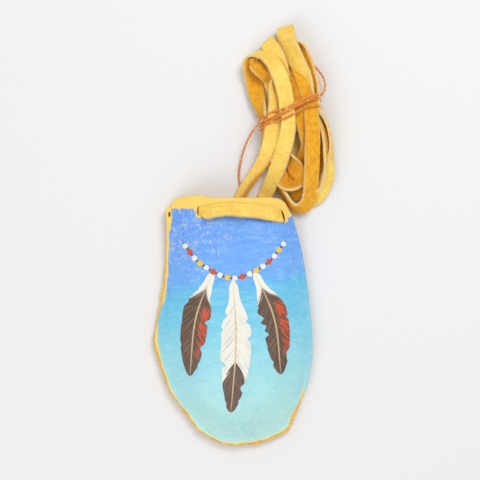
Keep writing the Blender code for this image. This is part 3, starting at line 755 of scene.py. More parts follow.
def makePouch():
    columns, rows, leather = pouch["columns"], pouch["rows"], pouch["leather"]
    us, vs = eased(columns, 0.45), eased(rows, 0.35)
    back, front = walls(us, vs)
    for grid in (back, front):
        wanderingEdge(grid, us, vs)
    # soft hollows and creases of worn leather
    hollows = 0.22 * noiseOver(front, 90, 60, 1.3) + 0.07 * noiseOver(front, 260, 140, 5.2)
    rise = front[:, :, 2] - (pouch["edgeLift"] + 2 * leather)
    front[:, :, 2] += hollows * mm * smoothStep(0, 3 * mm, rise)

    # how far each place of the front is from its raw edge, for the bare strip along it
    widths = np.linalg.norm(front[:, -1, :2] - front[:, 0, :2], axis=1)[:, None]
    pastRaw = 2 * mm * smoothStep(0.10, 0.42, vs)[:, None]
    fromEdge = np.minimum(us[None, :] * widths, vs[:, None] * pouch["length"])
    fromEdge = np.minimum(fromEdge, (1 - us[None, :]) * widths + pastRaw)
    shell = {"points": [], "faces": [], "slots": [], "fromEdge": []}
    backIds, frontIds = addGrid(shell, back), addGrid(shell, front, fromEdge)
    addQuads(shell, "tan", backIds, flip=True)
    addQuads(shell, "paint", frontIds)

    # the edge from the mouth down the left seam, round the bottom and up the right side
    walk = [(j, 0) for j in range(rows - 1, 0, -1)] + [(0, i) for i in range(columns - 1)]
    walk += [(j, columns - 1) for j in range(rows)]
    layers, foldShare = edgeLayers(walk, back, front, vs)
    edgeIds = addGrid(shell, layers, np.tile([fromEdge[j, i] for j, i in walk], (len(layers), 1)))
    steps = np.vstack([[backIds[j, i] for j, i in walk], edgeIds, [frontIds[j, i] for j, i in walk]])
    for k in range(steps.shape[0] - 1):
        for p in range(steps.shape[1] - 1):
            folded = "paint" if k >= 2 else "tan"
            addFace(shell, folded if foldShare[p] > 0.5 else "cut",
                    steps[k, p], steps[k, p + 1], steps[k + 1, p + 1], steps[k + 1, p])

    # the cavity starts where the two layers are no longer stuck together
    innerBack, innerFront = back.copy(), front.copy()
    innerBack[:, :, 2] += leather / np.clip(gridNormals(back)[:, :, 2], 0.5, 1)
    innerFront[:, :, 2] -= leather / np.clip(gridNormals(front)[:, :, 2], 0.5, 1)
    innerFront[:, :, 2] = np.maximum(innerFront[:, :, 2], innerBack[:, :, 2] + 0.1 * mm)
    width = pouch["width"] * 0.9  # at the mouth
    first = int(np.searchsorted(vs, pouch["glue"] / pouch["length"]))
    low = int(np.searchsorted(us, pouch["glue"] / width))
    high = columns - 1 - int(np.searchsorted(us, leather / width))
    inA, inB = (addGrid(shell, inner[first:, low:high + 1]) for inner in (innerBack, innerFront))
    addQuads(shell, "tan", inA)
    addQuads(shell, "tan", inB, flip=True)
    for i in range(inA.shape[1] - 1):
        addFace(shell, "tan", inA[0, i], inA[0, i + 1], inB[0, i + 1], inB[0, i])
    for j in range(inA.shape[0] - 1):
        for end in (0, -1):
            addFace(shell, "tan", inA[j, end], inA[j + 1, end], inB[j + 1, end], inB[j, end])

    # at the rim the outer and inner loops meet over a rounded edge, between stuck strips at both ends
    outer = [*backIds[-1, low:high + 1], *frontIds[-1, low:high + 1][::-1]]
    inner = [*inA[-1], *inB[-1][::-1]]
    points = np.array(shell["points"])
    ridge = (points[outer] + points[inner]) / 2 + np.array([0, pouch["rim"], 0])
    crest = addGrid(shell, ridge[None])[0]
    count, half = len(outer), high - low + 1
    for i in range(count):
        j = (i + 1) % count
        if i not in (half - 1, count - 1):
            addFace(shell, "tan", outer[i], outer[j], crest[j], crest[i])
            addFace(shell, "tan", crest[i], crest[j], inner[j], inner[i])
    for stuck, edge, a, b in ((np.arange(low, -1, -1), edgeIds[:, 0], count - 1, 0),
                              (np.arange(high, columns), edgeIds[:, -1], half, half - 1)):
        addFace(shell, "tan", *backIds[-1, stuck], *edge, *frontIds[-1, stuck[::-1]],
                crest[a], inner[a], inner[b], crest[b])
    piece = meshPiece("leatherPouch", shell["points"], shell["faces"], leatherSlots, shell["slots"])
    piece.data.attributes.new("fromEdge", "FLOAT", "POINT").data.foreach_set("value", shell["fromEdge"])
    outward(piece, split=True)
    piece.data.set_sharp_from_angle(angle=pouch["sharp"])
    return piece


def frontPoint(u, v):
    # a place on the front and the direction straight out of it
    step = 0.004
    front = walls([u - step, u, u + step], [v - step, v, v + step])[1]
    normal = np.cross(front[1, 2] - front[1, 0], front[2, 1] - front[0, 1])
    return front[1, 1], normal / np.linalg.norm(normal)


def openSlits(piece):
    # two lens-shaped cuts through both walls
    steps = 24
    low, high = -2 * mm, 14 * mm  # past both walls
    for place, sizes, tilt in zip(pouch["slits"], pouch["slitSizes"], pouch["slitTilt"]):
        halfWidth, halfLength, shift = sizes
        spot = Vector(frontPoint(*place)[0])
        points = []
        for z in (low, high):
            for k in range(steps):
                a = 2 * pi * k / steps
                x, y = shift + halfWidth * cos(a), halfLength * sin(a)
                points.append((spot.x + (x - tilt * y) * mm, spot.y + (y + tilt * x) * mm, z))
        faces = [[k, (k + 1) % steps, steps + (k + 1) % steps, steps + k] for k in range(steps)]
        faces += [list(range(steps - 1, -1, -1)), list(range(steps, 2 * steps))]
        cutter = outward(meshPiece("slitCutter", points, faces, ["cut"]))
        boolean = piece.modifiers.new("slit", "BOOLEAN")
        boolean.operation = "DIFFERENCE"
        boolean.solver = "EXACT"
        boolean.object = cutter
        graph = bpy.context.evaluated_depsgraph_get()
        mesh = bpy.data.meshes.new_from_object(piece.evaluated_get(graph))
        piece.modifiers.clear()
        piece.data = mesh
        bpy.data.objects.remove(cutter)


pouchPiece = makePouch()
openSlits(pouchPiece)
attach(pouchPiece, "root")
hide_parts("pouch_body")
frontTree = BVHTree.FromPolygons([v.co for v in pouchPiece.data.vertices],
                                 [list(f.vertices) for f in pouchPiece.data.polygons])


# Thin coats of paint that follow the front's own surface
def paintPatch(name, grid, shade, layer=1, vane=None):
    # grid holds flat places in rows; each is dropped onto the front
    spots = []
    for row in grid:
        for x, y in row:
            spot, normal, _, _ = frontTree.ray_cast(Vector((x, y, 0.05)), Vector((0, 0, -1)))
            spots.append(spot + normal * design["lift"] * layer)
    ids = np.arange(len(spots)).reshape(len(grid), -1)
    faces = [(ids[j, i], ids[j, i + 1], ids[j + 1, i + 1], ids[j + 1, i])
             for j in range(ids.shape[0] - 1) for i in range(ids.shape[1] - 1)]
    piece = meshPiece(name, spots, faces, [shade])
    if vane is not None:
        addMap(piece, "vane", np.array(vane))
    return piece


def addMap(piece, name, values):
    # a flat map for the finish: two numbers at each point
    corners = [loop.vertex_index for loop in piece.data.loops]
    piece.data.uv_layers.new(name=name).data.foreach_set("uv", values[corners].ravel())


def flatCurve(pixels, step):
    rows = smoothRoute([tuple(at(px, py, 9)) for px, py in pixels], step)
    ahead = np.gradient(rows[:, :2], axis=0)
    ahead /= np.linalg.norm(ahead, axis=1, keepdims=True)
    return rows[:, :2], np.stack([-ahead[:, 1], ahead[:, 0]], axis=1)


def paintFeather(number, quill, middle, tip, width, kind):
    route, side = flatCurve((quill, middle, tip), design["featherStep"])
    along = np.linspace(0, 1, len(route))
    half = width * mm / 2 * (0.30 + 0.70 * smoothStep(0.08, 0.42, along)) * (1 - along ** 5) ** 0.5
    half *= smoothStep(-0.02, 0.07, along) * (1 - 0.25 * smoothStep(0.6, 1.0, along))
    half = np.maximum(half, 0.22 * mm)
    grid, vane = [], []
    for i, share in enumerate(along):
        grid.append([])
        for t in np.linspace(-1, 1, 19):
            # each side of the vane splits in a few places
            seed = 11.0 * number + (3.0 if t > 0 else 0.0)
            edge = noise.noise(Vector((share * 9.0, seed, 0.5)))
            nick = 0.60 * max(0.0, noise.noise(Vector((share * 17.0, seed, 4.5))) - 0.12)
            reach = half[i] * t * (1 + 0.10 * edge - nick * abs(t) ** 3 * smoothStep(0.1, 0.3, share))
            grid[-1].append(tuple(route[i] + side[i] * reach))
            vane.append((t, share))
    return paintPatch("feather%d" % number, grid, kind, 1, vane)


def paintString():
    step, half, order = design["stringStep"], design["lineWidth"] / 2, design["beadOrder"]
    route, side = flatCurve(design["string"], step)
    line = [[tuple(p + n * half * t) for t in (-1, 0, 1)] for p, n in zip(route, side)]
    pieces = [paintPatch("beadLine", line, "line")]
    every = int(round(design["beadGap"] / step))
    for k, i in enumerate(range(every // 2, len(route), every)):
        size = design["beadSize"] / 2 * (1 + 0.12 * noise.noise(Vector((k * 1.7, 0.3, 2.2))))
        rings = [[tuple(route[i] + np.array([cos(a), sin(a)]) * size * r * (1 + 0.06 * sin(3 * a + k)))
                  for a in np.linspace(0, 2 * pi, 19)] for r in (0.02, 0.5, 1.0)]
        pieces.append(paintPatch("bead%d" % k, rings, order[k % len(order)], 2.4))
    return pieces


painted = paintString() + [paintFeather(n, *feather) for n, feather in enumerate(design["feathers"])]
for piece in painted:
    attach(piece, "root")


# The lace: one flat strip of buckskin, smooth on one face and rough on the other
print("stage: lace")
lace = {
    "width": 4.8 * mm,
    "thick": 0.92 * mm,
    "step": 0.45 * mm,
    "steps": 12,  # across it
    "lean": 0.6,  # of the strap over the front, which shows its lower cut edge
    "slant": 0.26 * mm,  # how far its cut edges slope where it lies flat
    "ragged": 0.13 * mm,
    "fuzz": 0.07 * mm,
    "round": 0.05 * mm,  # how far the middle of a cut edge stands out
    "foldTurn": 2.65,  # angle of the edge where it turns over
    "foldedEnd": (9.5 * mm, 20.5 * mm),  # from its left end, where the lace's edge turns over
    "foldedInside": 7.0 * mm,  # and how far this goes on in the pouch
}
# how far its middle stays from the front that it crosses, and from the table behind the pouch
lace["over"] = 0.2 * mm + lace["thick"] / 2
lace["behind"] = 0.3 * mm + lace["thick"] / 2


def laceRing(half, turn, slant, right, left):
    # the outline of the lace's cut: half its width, how far the edge turns over, the slope of the cut edges
    # and how far each of these stands out; sideways and upwards
    thick, steps = lace["thick"], lace["steps"]
    q = np.linspace(-1, 1, 5 * steps + 1)
    # the crease moves in from the right edge
    angle = lace["foldTurn"] * np.clip((q - 1 + 0.80 * turn) / 0.35, 0, 1)
    turns = (angle[1:] + angle[:-1]) / 2
    pace = half * (q[1] - q[0])
    a = np.concatenate([[0], np.cumsum(np.cos(turns) * pace)])
    b = np.concatenate([[0], np.cumsum(np.sin(turns) * pace)])
    a += (half - (a.max() + a.min()) / 2) * turn - half
    a, b, angle = a[::5], b[::5], angle[::5]
    way = np.stack([np.cos(angle), np.sin(angle)], axis=1)
    line = np.stack([a, b], axis=1)
    line[-1] += way[-1] * right
    line[0, 0] += left
    up = np.stack([-way[:, 1], way[:, 0]], axis=1) * thick / 2
    top, low = line + up, line - up
    top[0, 0] += max(slant, 0)
    top[-1] -= way[-1] * max(slant, 0)
    low[0, 0] += max(-slant, 0)
    low[-1] -= way[-1] * max(-slant, 0)
    shares = np.array([[0.14], [0.5], [0.86]])
    rightEdge = top[-1] * (1 - shares) + low[-1] * shares + way[-1] * lace["round"]
    leftEdge = low[0] * (1 - shares) + top[0] * shares - np.array([lace["round"], 0])
    return np.vstack([top, rightEdge, low[::-1], leftEdge])


def laceMesh(name, rows, folds):
    # rows hold a place, the way that the smooth face looks and the width's share;
    # folds says how far the lace's edge turns over at each
    middle, half, steps = rows[:, :3], lace["width"] / 2, lace["steps"]
    ahead = np.gradient(middle, axis=0)
    ahead /= np.linalg.norm(ahead, axis=1, keepdims=True)
    face = rows[:, 3:6]
    face = face - (face * ahead).sum(axis=1, keepdims=True) * ahead
    face /= np.linalg.norm(face, axis=1, keepdims=True)
    side = np.cross(face, ahead)
    ragRight, ragLeft = noiseAt(middle, 900, 1.0), noiseAt(middle, 900, 9.0)
    fineRag = noiseAt(middle, 2300, 5.0)
    rings = []
    for i, turn in enumerate(folds):
        rag = lace["ragged"] * (1 + turn)
        right, left = (ragRight[i] + 0.8 * turn * fineRag[i]) * rag, -ragLeft[i] * rag
        ring = laceRing(half * rows[i, 6], turn, lace["slant"] * face[i, 2] * (1 - turn), right, left)
        rings.append(middle[i] + side[i] * ring[:, :1] + face[i] * ring[:, 1:])
    count, around = len(rings), len(rings[0])
    flat = np.array(rings).reshape(-1, 3)
    away = flat - np.repeat(middle, around, axis=0)
    away /= np.linalg.norm(away, axis=1, keepdims=True) + 1e-12
    flat = flat + away * (noiseAt(flat, 1500, 2.0) * lace["fuzz"])[:, None]
    kinds = [0] * steps + [2] * 4 + [1] * steps + [2] * 4  # grain, suede and edge, once round
    ids = np.arange(count * around).reshape(count, around)
    beside = np.roll(ids, -1, axis=1)
    faces = [(ids[i, k], ids[i + 1, k], beside[i + 1, k], beside[i, k])
             for i in range(count - 1) for k in range(around)]
    faces += [ids[0], ids[-1][::-1]]
    piece = meshPiece(name, flat, faces, ("grain", "suede", "edge"), kinds * (count - 1) + [2, 2])
    q = np.linspace(-1, 1, steps + 1)
    across = np.concatenate([q, [1] * 3, q[::-1], [-1] * 3]) * half / mm
    along = lengthsAlong(middle) / mm
    addMap(piece, "strip", np.stack([np.tile(across, count), np.repeat(along, around)], axis=1))
    return outward(piece)


# The free lace from the right exit at the mouth through its folds and back to the left one:
# pixel x and y, mm above the table, the way that its smooth face looks, and its width where that differs
laceRoute = [
    # up the right lead and over the front of the hank
    (263.6, 199.8, 1.1, -0.1, 0, 1), (265.0, 196.5, 1.4, -0.3, 0, 1),
    (270.8, 183, 3.2, -0.5, -0.1, 0.86, 1.06), (277.0, 169, 5.4, -0.5, -0.12, 0.86, 1.14),
    (281.6, 155, 7.1, -0.48, -0.1, 0.88, 1.17), (285.8, 140.6, 8.4, -0.38, -0.05, 0.92, 1.12),
    (288.0, 128, 9.1, -0.2, 0, 0.98, 1.02), (288.3, 118, 9.2, -0.08, 0, 1, 0.96),
    (287.0, 110, 9.2, 0, 0, 1, 1.02), (285.8, 98, 9.1, 0, 0, 1, 1.04), (283.2, 86, 8.9, 0, 0, 1, 1.06),
    (279.8, 76, 8.4, 0.05, 0.05, 1, 1.06), (275.8, 67, 7.5, 0.08, 0.2, 0.98, 1.04),
    # the arch at the upper left, with its rough side inside
    (270.3, 59.4, 6.2, 0.2, 0.42, 0.88), (264.0, 54.6, 5.0, 0.12, 0.68, 0.72),
    (257.2, 53.8, 4.1, -0.12, 0.88, 0.42), (251.2, 55.2, 3.6, -0.6, 0.76, 0.02),
    (250.6, 61.2, 3.1, -0.6, 0.38, -0.7, 1.2), (250.6, 69.5, 2.5, -0.6, 0.12, -0.78, 1.14),
    (253.2, 79, 2.1, -0.32, -0.05, -0.94, 1.13), (255.3, 88, 2.4, -0.1, -0.05, -1, 1.12),
    (257.6, 97.6, 3.2, 0.4, -0.1, -0.91, 1.08), (260.2, 106, 4.2, 0.75, -0.1, -0.65),
    (262.4, 114, 4.9, 0.92, -0.05, -0.35), (263.6, 124, 5.0, 0.97, 0, -0.22),
    (264.2, 133, 4.5, 0.97, -0.1, -0.2), (265.8, 143, 3.6, 0.85, -0.2, -0.5),
    (269.3, 153.5, 2.8, 0.4, -0.15, -0.9), (274.4, 163.5, 2.5, 0, -0.1, -1),
    # the small bowl behind the right lead
    (280.2, 174.5, 3.1, -0.2, -0.2, -0.95), (283.2, 183.6, 3.9, -0.45, -0.55, -0.7),
    (288.6, 187.0, 4.3, -0.08, -0.9, -0.43), (295.2, 185.2, 4.4, 0.3, -0.8, -0.52),
    (299.6, 180.8, 4.5, 0.55, -0.3, -0.77), (299.8, 175.4, 4.6, 0.48, 0.08, -0.87, 1.03),
    (296.2, 168.8, 4.7, 0.46, 0.25, -0.85, 1.16), (291.8, 161.8, 4.8, 0.6, 0.4, -0.65, 1.1),
    (289.6, 151.0, 5.0, 0.9, 0.3, 0.2), (288.2, 138, 5.4, 0.5, 0.1, 0.86), (285.8, 126, 5.9, 0.1, 0, 1),
    (284.9, 112, 6.1, 0, 0, 1), (283.4, 98, 6.3, 0, 0, 1), (282.2, 85, 6.3, -0.1, 0, 1),
    (281.0, 70, 5.6, -0.42, 0, 0.9, 1.04), (277.2, 58, 4.9, -0.52, 0, 0.86, 1.1),
    (272.2, 48.8, 4.5, -0.5, 0.1, 0.87, 1.1), (268.3, 43.8, 4.2, -0.48, 0.25, 0.84, 1.06),
    # the second fold from the left
    (266.4, 41.4, 3.25, -0.68, 0.73, 0), (267.8, 43.8, 2.3, -0.2, 0.2, -0.95), (272.0, 49.5, 2.3, 0, 0, -1),
    (279.0, 60, 2.9, 0, 0, -1), (286.0, 72, 4.0, 0, 0, -1), (292.2, 84, 5.5, 0.12, 0, -1),
    (296.6, 98, 6.5, 0.1, 0, -1), (299.6, 112, 6.7, 0, 0, -1), (302.6, 124, 6.5, -0.3, 0, -0.95),
    (306.4, 136, 6.0, -0.45, 0, -0.9), (308.4, 146, 5.3, -0.3, 0, -0.95), (305.4, 155, 4.5, -0.1, 0, -1),
    (301.2, 163.5, 3.5, -0.05, 0, -1), (296.8, 171.5, 2.9, 0, 0, -1), (291.0, 178.2, 2.1, 0.05, -0.12, -1),
    # on edge under the bowl, then the bottom loop, rough side up and out
    (285.6, 182.0, 2.0, 0.2, -0.5, -0.85), (281.6, 184.6, 2.4, 0.5, -0.6, -0.6),
    (280.2, 187.8, 2.7, 0.87, -0.05, -0.45), (282.0, 191.8, 3.0, 0.86, 0.45, -0.28),
    (285.4, 196.6, 3.1, 0.82, 0.52, -0.26), (288.8, 201.6, 3.2, 0.82, 0.54, -0.24),
    (292.0, 206.0, 3.4, 0.6, 0.74, -0.34), (296.6, 208.8, 3.6, 0.12, 0.86, -0.48),
    (302.0, 208.0, 4.0, -0.1, 0.66, -0.75), (306.8, 203.8, 4.8, -0.4, 0.34, -0.84),
    (310.1, 195.5, 5.6, -0.44, 0.1, -0.9, 1.06), (311.2, 184, 6.7, -0.44, 0, -0.9, 1.08),
    (312.0, 170, 7.6, -0.36, 0, -0.93, 1.06), (312.3, 155, 8.2, -0.22, 0, -0.97, 1.04),
    (312.6, 140, 8.4, -0.05, 0, -1, 1.03), (312.4, 127, 8.1, 0, 0, -1), (311.4, 114, 7.7, 0, 0, -1),
    (310.4, 104, 7.6, 0, 0, -1), (307.6, 94, 7.3, 0, 0, -1), (303.6, 82, 6.6, 0, 0, -1),
    (298.8, 70, 5.4, 0.1, 0, -1), (294.2, 58, 4.0, 0.3, 0, -0.95, 1.05),
    (289.6, 45, 3.1, 0.42, 0, -0.9, 1.12), (286.9, 35, 2.7, 0.42, 0, -0.9, 1.12),
    # the top fold
    (285.4, 29.6, 2.75, 0.1, 0.3, -0.95, 1.12), (285.4, 27.2, 3.6, -0.25, 0.97, 0, 1.02),
    (285.5, 29.6, 4.45, -0.5, 0.3, 0.82, 1.28), (286.5, 39.5, 5.0, -0.62, 0.02, 0.78, 1.42),
    (290.0, 49.5, 5.5, -0.62, 0.03, 0.78, 1.4), (296.0, 60.5, 6.2, -0.62, 0.05, 0.78, 1.24),
    (302.0, 70, 6.5, -0.66, 0.1, 0.74, 1.06), (306.6, 79, 6.4, -0.82, 0.15, 0.52),
    (310.0, 89, 6.0, -0.93, 0.12, 0.32), (312.0, 100, 5.5, -0.97, 0.08, 0.2),
    (314.4, 108, 5.0, -0.98, 0.15, 0.05), (319.0, 117.5, 5.0, -0.98, 0.1, -0.22),
    (323.4, 128, 5.3, -0.92, 0.1, -0.36), (326.4, 142, 5.5, -0.92, 0, -0.4),
    (326.8, 155, 5.3, -0.92, 0, -0.36), (326.2, 168, 4.5, -0.97, -0.1, -0.2),
    (323.6, 180.5, 3.8, -0.94, 0.3, -0.05), (317.4, 191.5, 3.1, -0.7, 0.7, 0),
    (308.0, 196.2, 2.6, -0.15, 0.8, -0.55), (300.2, 195.0, 2.1, 0, 0.35, -0.93),
    (295.8, 188.0, 1.85, 0, 0.05, -1),
    # up underneath and over the right shoulder
    (304.8, 180, 1.8, 0, 0, -1), (313.8, 170, 1.8, 0, 0, -1), (316.8, 157, 1.8, 0, 0, -1),
    (316.8, 144, 1.85, 0, 0, -1), (313.8, 130, 2.1, 0, 0, -1), (307.8, 115, 2.3, 0, 0, -1),
    (303.4, 100, 2.2, 0, 0, -1), (300.0, 85, 1.7, 0, 0, -1), (297.8, 70, 1.5, 0, 0, -1),
    (295.6, 58, 1.9, -0.4, 0, -0.9), (294.6, 49.5, 2.7, -0.85, 0.35, -0.3),
    (296.4, 43.8, 3.0, -0.3, 0.95, -0.12), (300.4, 47.4, 3.9, 0.45, 0.7, -0.5),
    (303.2, 56.0, 4.9, 0.5, 0.32, -0.8), (306.8, 65.6, 5.5, 0.52, 0.2, -0.82),
    (310.2, 76, 5.7, 0.6, 0.14, -0.77), (313.8, 87, 5.6, 0.82, 0.05, -0.56), (316.0, 97, 5.5, 0.95, 0, -0.26),
    (319.2, 107, 5.4, 0.97, 0.2, 0.05), (324.2, 118, 4.7, 0.95, 0.3, 0.05),
    (328.4, 128, 4.3, 0.97, 0.12, 0.1), (330.9, 141, 4.0, 0.97, 0, 0.14), (331.2, 153, 4.0, 0.95, 0, 0.24),
    (329.6, 164, 4.2, 0.82, -0.03, 0.55), (328.2, 175, 4.3, 0.6, -0.12, 0.79),
    (325.0, 186, 3.6, 0.5, -0.3, 0.8), (319.8, 195.2, 2.9, 0.3, -0.5, 0.8),
    (313.5, 199.5, 1.8, 0.1, -0.45, 0.88), (307.5, 198.0, 0.9, 0, -0.15, 0.98), (303.0, 193.5, 0.64, 0, 0, 1),
    # two hidden runs
    (301.0, 186, 0.62, 0, 0, 1), (300.0, 175, 0.62, 0, 0, 1), (297.0, 160, 0.7, 0, 0, 1),
    (293.5, 145, 1.2, 0, 0, 1), (290.0, 130, 2.0, 0, 0, 1), (289.0, 115, 2.3, 0, 0, 1),
    (288.0, 100, 2.2, 0, 0, 1), (286.8, 90, 1.9, 0, 0, 1), (285.9, 84.5, 2.0, 0, -0.3, 0.95),
    (285.6, 82.3, 2.8, 0, -1, 0), (285.9, 84.5, 3.6, 0, -0.3, -0.95), (287.5, 97, 3.8, 0, 0, -1),
    (289.6, 112, 4.1, 0, 0, -1), (289.0, 128, 3.8, 0, 0, -1), (286.0, 142, 3.0, 0, 0, -1),
    (283.0, 152, 2.4, 0, 0, -1), (281.5, 156.6, 2.2, 0, 0.3, -0.95), (280.8, 158.6, 1.5, 0, 1, 0),
    (279.8, 156.6, 0.8, 0, 0.3, 0.95), (278.0, 147, 1.1, 0, 0, 1), (275.4, 133, 2.4, 0, 0, 1),
    (273.8, 118, 3.7, 0, 0, 1), (273.4, 104, 3.3, 0, 0, 1), (272.8, 92, 2.7, 0, 0, 1),
    (270.2, 81.5, 2.3, 0, 0, 1), (266.0, 74.0, 2.4, 0, 0, 1), (261.0, 69.2, 2.8, 0, 0, 1),
    (256.8, 65.4, 3.1, 0.05, 0, 1, 0.95),
    # the small fold inside the arch, rough side up
    (253.2, 62.8, 3.9, -0.81, 0.58, 0, 0.84), (254.3, 63.8, 4.7, -0.5, 0.1, -0.85, 0.92),
    (256.6, 65.6, 5.0, -0.3, -0.3, -0.9, 1.04), (260.2, 68.8, 5.1, -0.3, -0.34, -0.89, 1.1),
    (264.6, 72.6, 5.0, -0.16, -0.28, -0.94, 1.04), (270.4, 76.8, 5.0, 0.7, 0.3, -0.6),
    (273.6, 81.5, 5.4, 0.95, 0.15, 0.2), (275.0, 87.0, 6.0, 0.6, 0.05, 0.78),
    # down the left lead
    (275.6, 94, 6.6, 0.4, 0, 0.9), (275.8, 102, 6.8, 0.38, 0, 0.92), (275.6, 111, 6.9, 0.3, 0, 0.95, 1.06),
    (274.6, 121, 7.0, 0.22, 0, 0.97, 1.16), (272.4, 133, 6.7, 0.08, 0, 1, 1.13),
    (269.6, 144, 6.0, 0, 0, 1, 1.03), (265.6, 155.5, 4.7, 0, -0.1, 1, 0.96), (259.0, 167.4, 3.3, 0, -0.1, 1),
    (251.6, 177.6, 2.3, 0, -0.1, 1), (245.4, 186.2, 1.6, 0, -0.05, 1, 0.97),
    (239.8, 196.6, 1.1, 0, 0, 1, 0.95), (238.8, 199.8, 1.0, 0, 0, 1, 0.95),
]

laceRows = smoothRoute([(*at(*row[:3]), *row[3:6], (*row, 1.0)[6]) for row in laceRoute], lace["step"], 2)
laceLengths = lengthsAlong(laceRows)
freeLength = float(laceLengths[-1])
print("free lace, mm:", round(freeLength / mm, 1))
freeLace = laceMesh("freeLace", laceRows, np.interp(freeLength - laceLengths, lace["foldedEnd"], (1, 0)))
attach(freeLace, "root")
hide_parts("lace_hank", "lead_left", "lead_right")


def throughSlit(spot, exitPoint, beforeExit, sign, pinch, tilt):
    # from the exit at the rim behind the back wall to the top of the front slit; sign is +1 on the right
    x, y, top = spot[0], spot[1], spot[2] - lace["over"]
    behind = lace["behind"]
    lead = (exitPoint - beforeExit) / np.linalg.norm((exitPoint - beforeExit)[:2])
    enter = exitPoint + lead * 1.6 * mm
    bend = ((enter[0] + lead[0] * 2 * mm + x - sign * 1.5 * mm) / 2, enter[1] * 0.25 + y * 0.75)
    rows = [(exitPoint[0], exitPoint[1], behind, 0, 0, 1, 1), (enter[0], enter[1], behind, 0, 0, 1, 1),
            (bend[0], bend[1], behind, 0, 0, 1, 0.95)]
    # mm towards the middle, height, the way that the smooth face looks and the width's share
    for inside, z, faceX, faceY, faceZ, share in (
            (1.5, behind, 0, 0, 1, 0.9),
            (0.35, behind + 0.5 * mm, -0.7, 0, 0.7, 0.85),
            (0.2, behind + 1.4 * mm, -1, 0, 0, 0.8),
            (0.3, behind + 2.1 * mm, 0, 1, 0, 0.7),  # half a twist in the pouch
            (0.45, behind + 2.8 * mm, 1, tilt, 0, 0.9 * pinch),
            (0.5, top - 0.9 * mm, 1, tilt, 0, 0.96 * pinch),
            (0.6, top, 0.9, 0.9 * tilt, 0.4, pinch)):
        rows.append((x - sign * inside * mm, y, z, sign * faceX, faceY, faceZ, share))
    top += lace["over"] * 0.85
    return rows + [(x - sign * 1.25 * mm, y + 0.1 * mm, top, sign * 0.42, 0.42 * tilt, 0.9, pinch)]


def heldLace():
    # in from the right lead behind the back wall, through its slits, over the front and out on the left
    (leftU, leftV), (rightU, rightV) = pouch["slits"]
    strap = []
    for share in np.linspace(0, 1, 17):
        spot, normal = frontPoint(leftU + (rightU - leftU) * share, leftV + (rightV - leftV) * share)
        lean = lace["lean"] * float(smoothStep(0.0, 0.22, share) * (1 - smoothStep(0.45, 0.95, share)))
        bow = sin(pi * share) ** 0.8 * (1.25 - 0.75 * share) * float(smoothStep(-0.1, 0.35, share))
        bow -= 0.35 * float(np.exp(-((share - 0.1) / 0.08) ** 2))
        loose = 0.3 * mm * float(smoothStep(0.55, 0.8, share))
        spot = spot + normal * (lace["over"] + loose + 1.3 * mm * lean)
        spot = spot + np.array([0, (1.4 * bow + 0.5 * lean) * mm, 0])
        strap.append((*spot, *(normal + np.array([0, lean, 0])), 0.96 - 0.05 * (len(strap) == 2)))
    leftTilt, rightTilt = pouch["slitTilt"]
    rightRows = throughSlit(strap[-1], laceRows[0, :3], laceRows[6, :3], 1, 0.88, rightTilt)
    leftRows = throughSlit(strap[0], laceRows[-1, :3], laceRows[-7, :3], -1, 0.6, leftTilt)
    return smoothRoute(rightRows + strap[-3:1:-1] + leftRows[::-1], lace["step"], 1)[::-1]


heldRows = heldLace()
heldLengths = np.arange(len(heldRows)) * lace["step"]
span = laceMesh("drawstringSpan", heldRows, np.interp(heldLengths, (0, lace["foldedInside"]), (1, 0)))
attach(span, "root")
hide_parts("drawstring_span")

# The waxed thread that ties the hank, and the stitch of the seam
print("stage: thread")
thread = {
    "size": 0.72 * mm,
    "twist": 3.2 * mm,  # length of one turn of its plies
    "step": 0.3 * mm,
    "sides": 10,
    # where it runs under the hank: pixels across, with those down or up from the front's ends, and mm up
    "below": ((300, 8), (280, 6)),
    "belowHeight": 0.9,
    "stitchSize": 0.85 * mm,
    "stitchSpot": (169.4, 214.3, 4.6),  # pixel and mm above the table
}


def threadMesh(name, knots, shade, size, taper=0.0):
    rows = smoothRoute(knots, thread["step"], 2)
    route = [Vector(p[:3]) for p in rows]
    count, sides = len(route), thread["sides"]
    normal = (route[1] - route[0]).normalized().orthogonal().normalized()
    points = []
    for i, p in enumerate(route):
        ahead = (route[min(i + 1, count - 1)] - route[max(i - 1, 0)]).normalized()
        normal = (normal - ahead * normal.dot(ahead)).normalized()
        other = ahead.cross(normal)
        phase = 2 * pi * i * thread["step"] / thread["twist"]
        fromEnd = min(i, count - 1 - i) * thread["step"]
        scale = 1 - taper * (1 - min(fromEnd / (2.2 * size), 1.0))
        for k in range(sides):
            a = 2 * pi * k / sides
            r = size / 2 * scale * (0.88 + 0.14 * cos(2 * (a - phase)))
            points.append(p + normal * (r * cos(a)) + other * (r * sin(a)))
    ids = np.arange(count * sides).reshape(count, sides)
    beside = np.roll(ids, -1, axis=1)
    faces = [(ids[i, k], beside[i, k], beside[i + 1, k], ids[i + 1, k])
             for i in range(count - 1) for k in range(sides)]
    faces += [ids[0][::-1], ids[-1]]
    return outward(meshPiece(name, points, faces, [shade])), rows


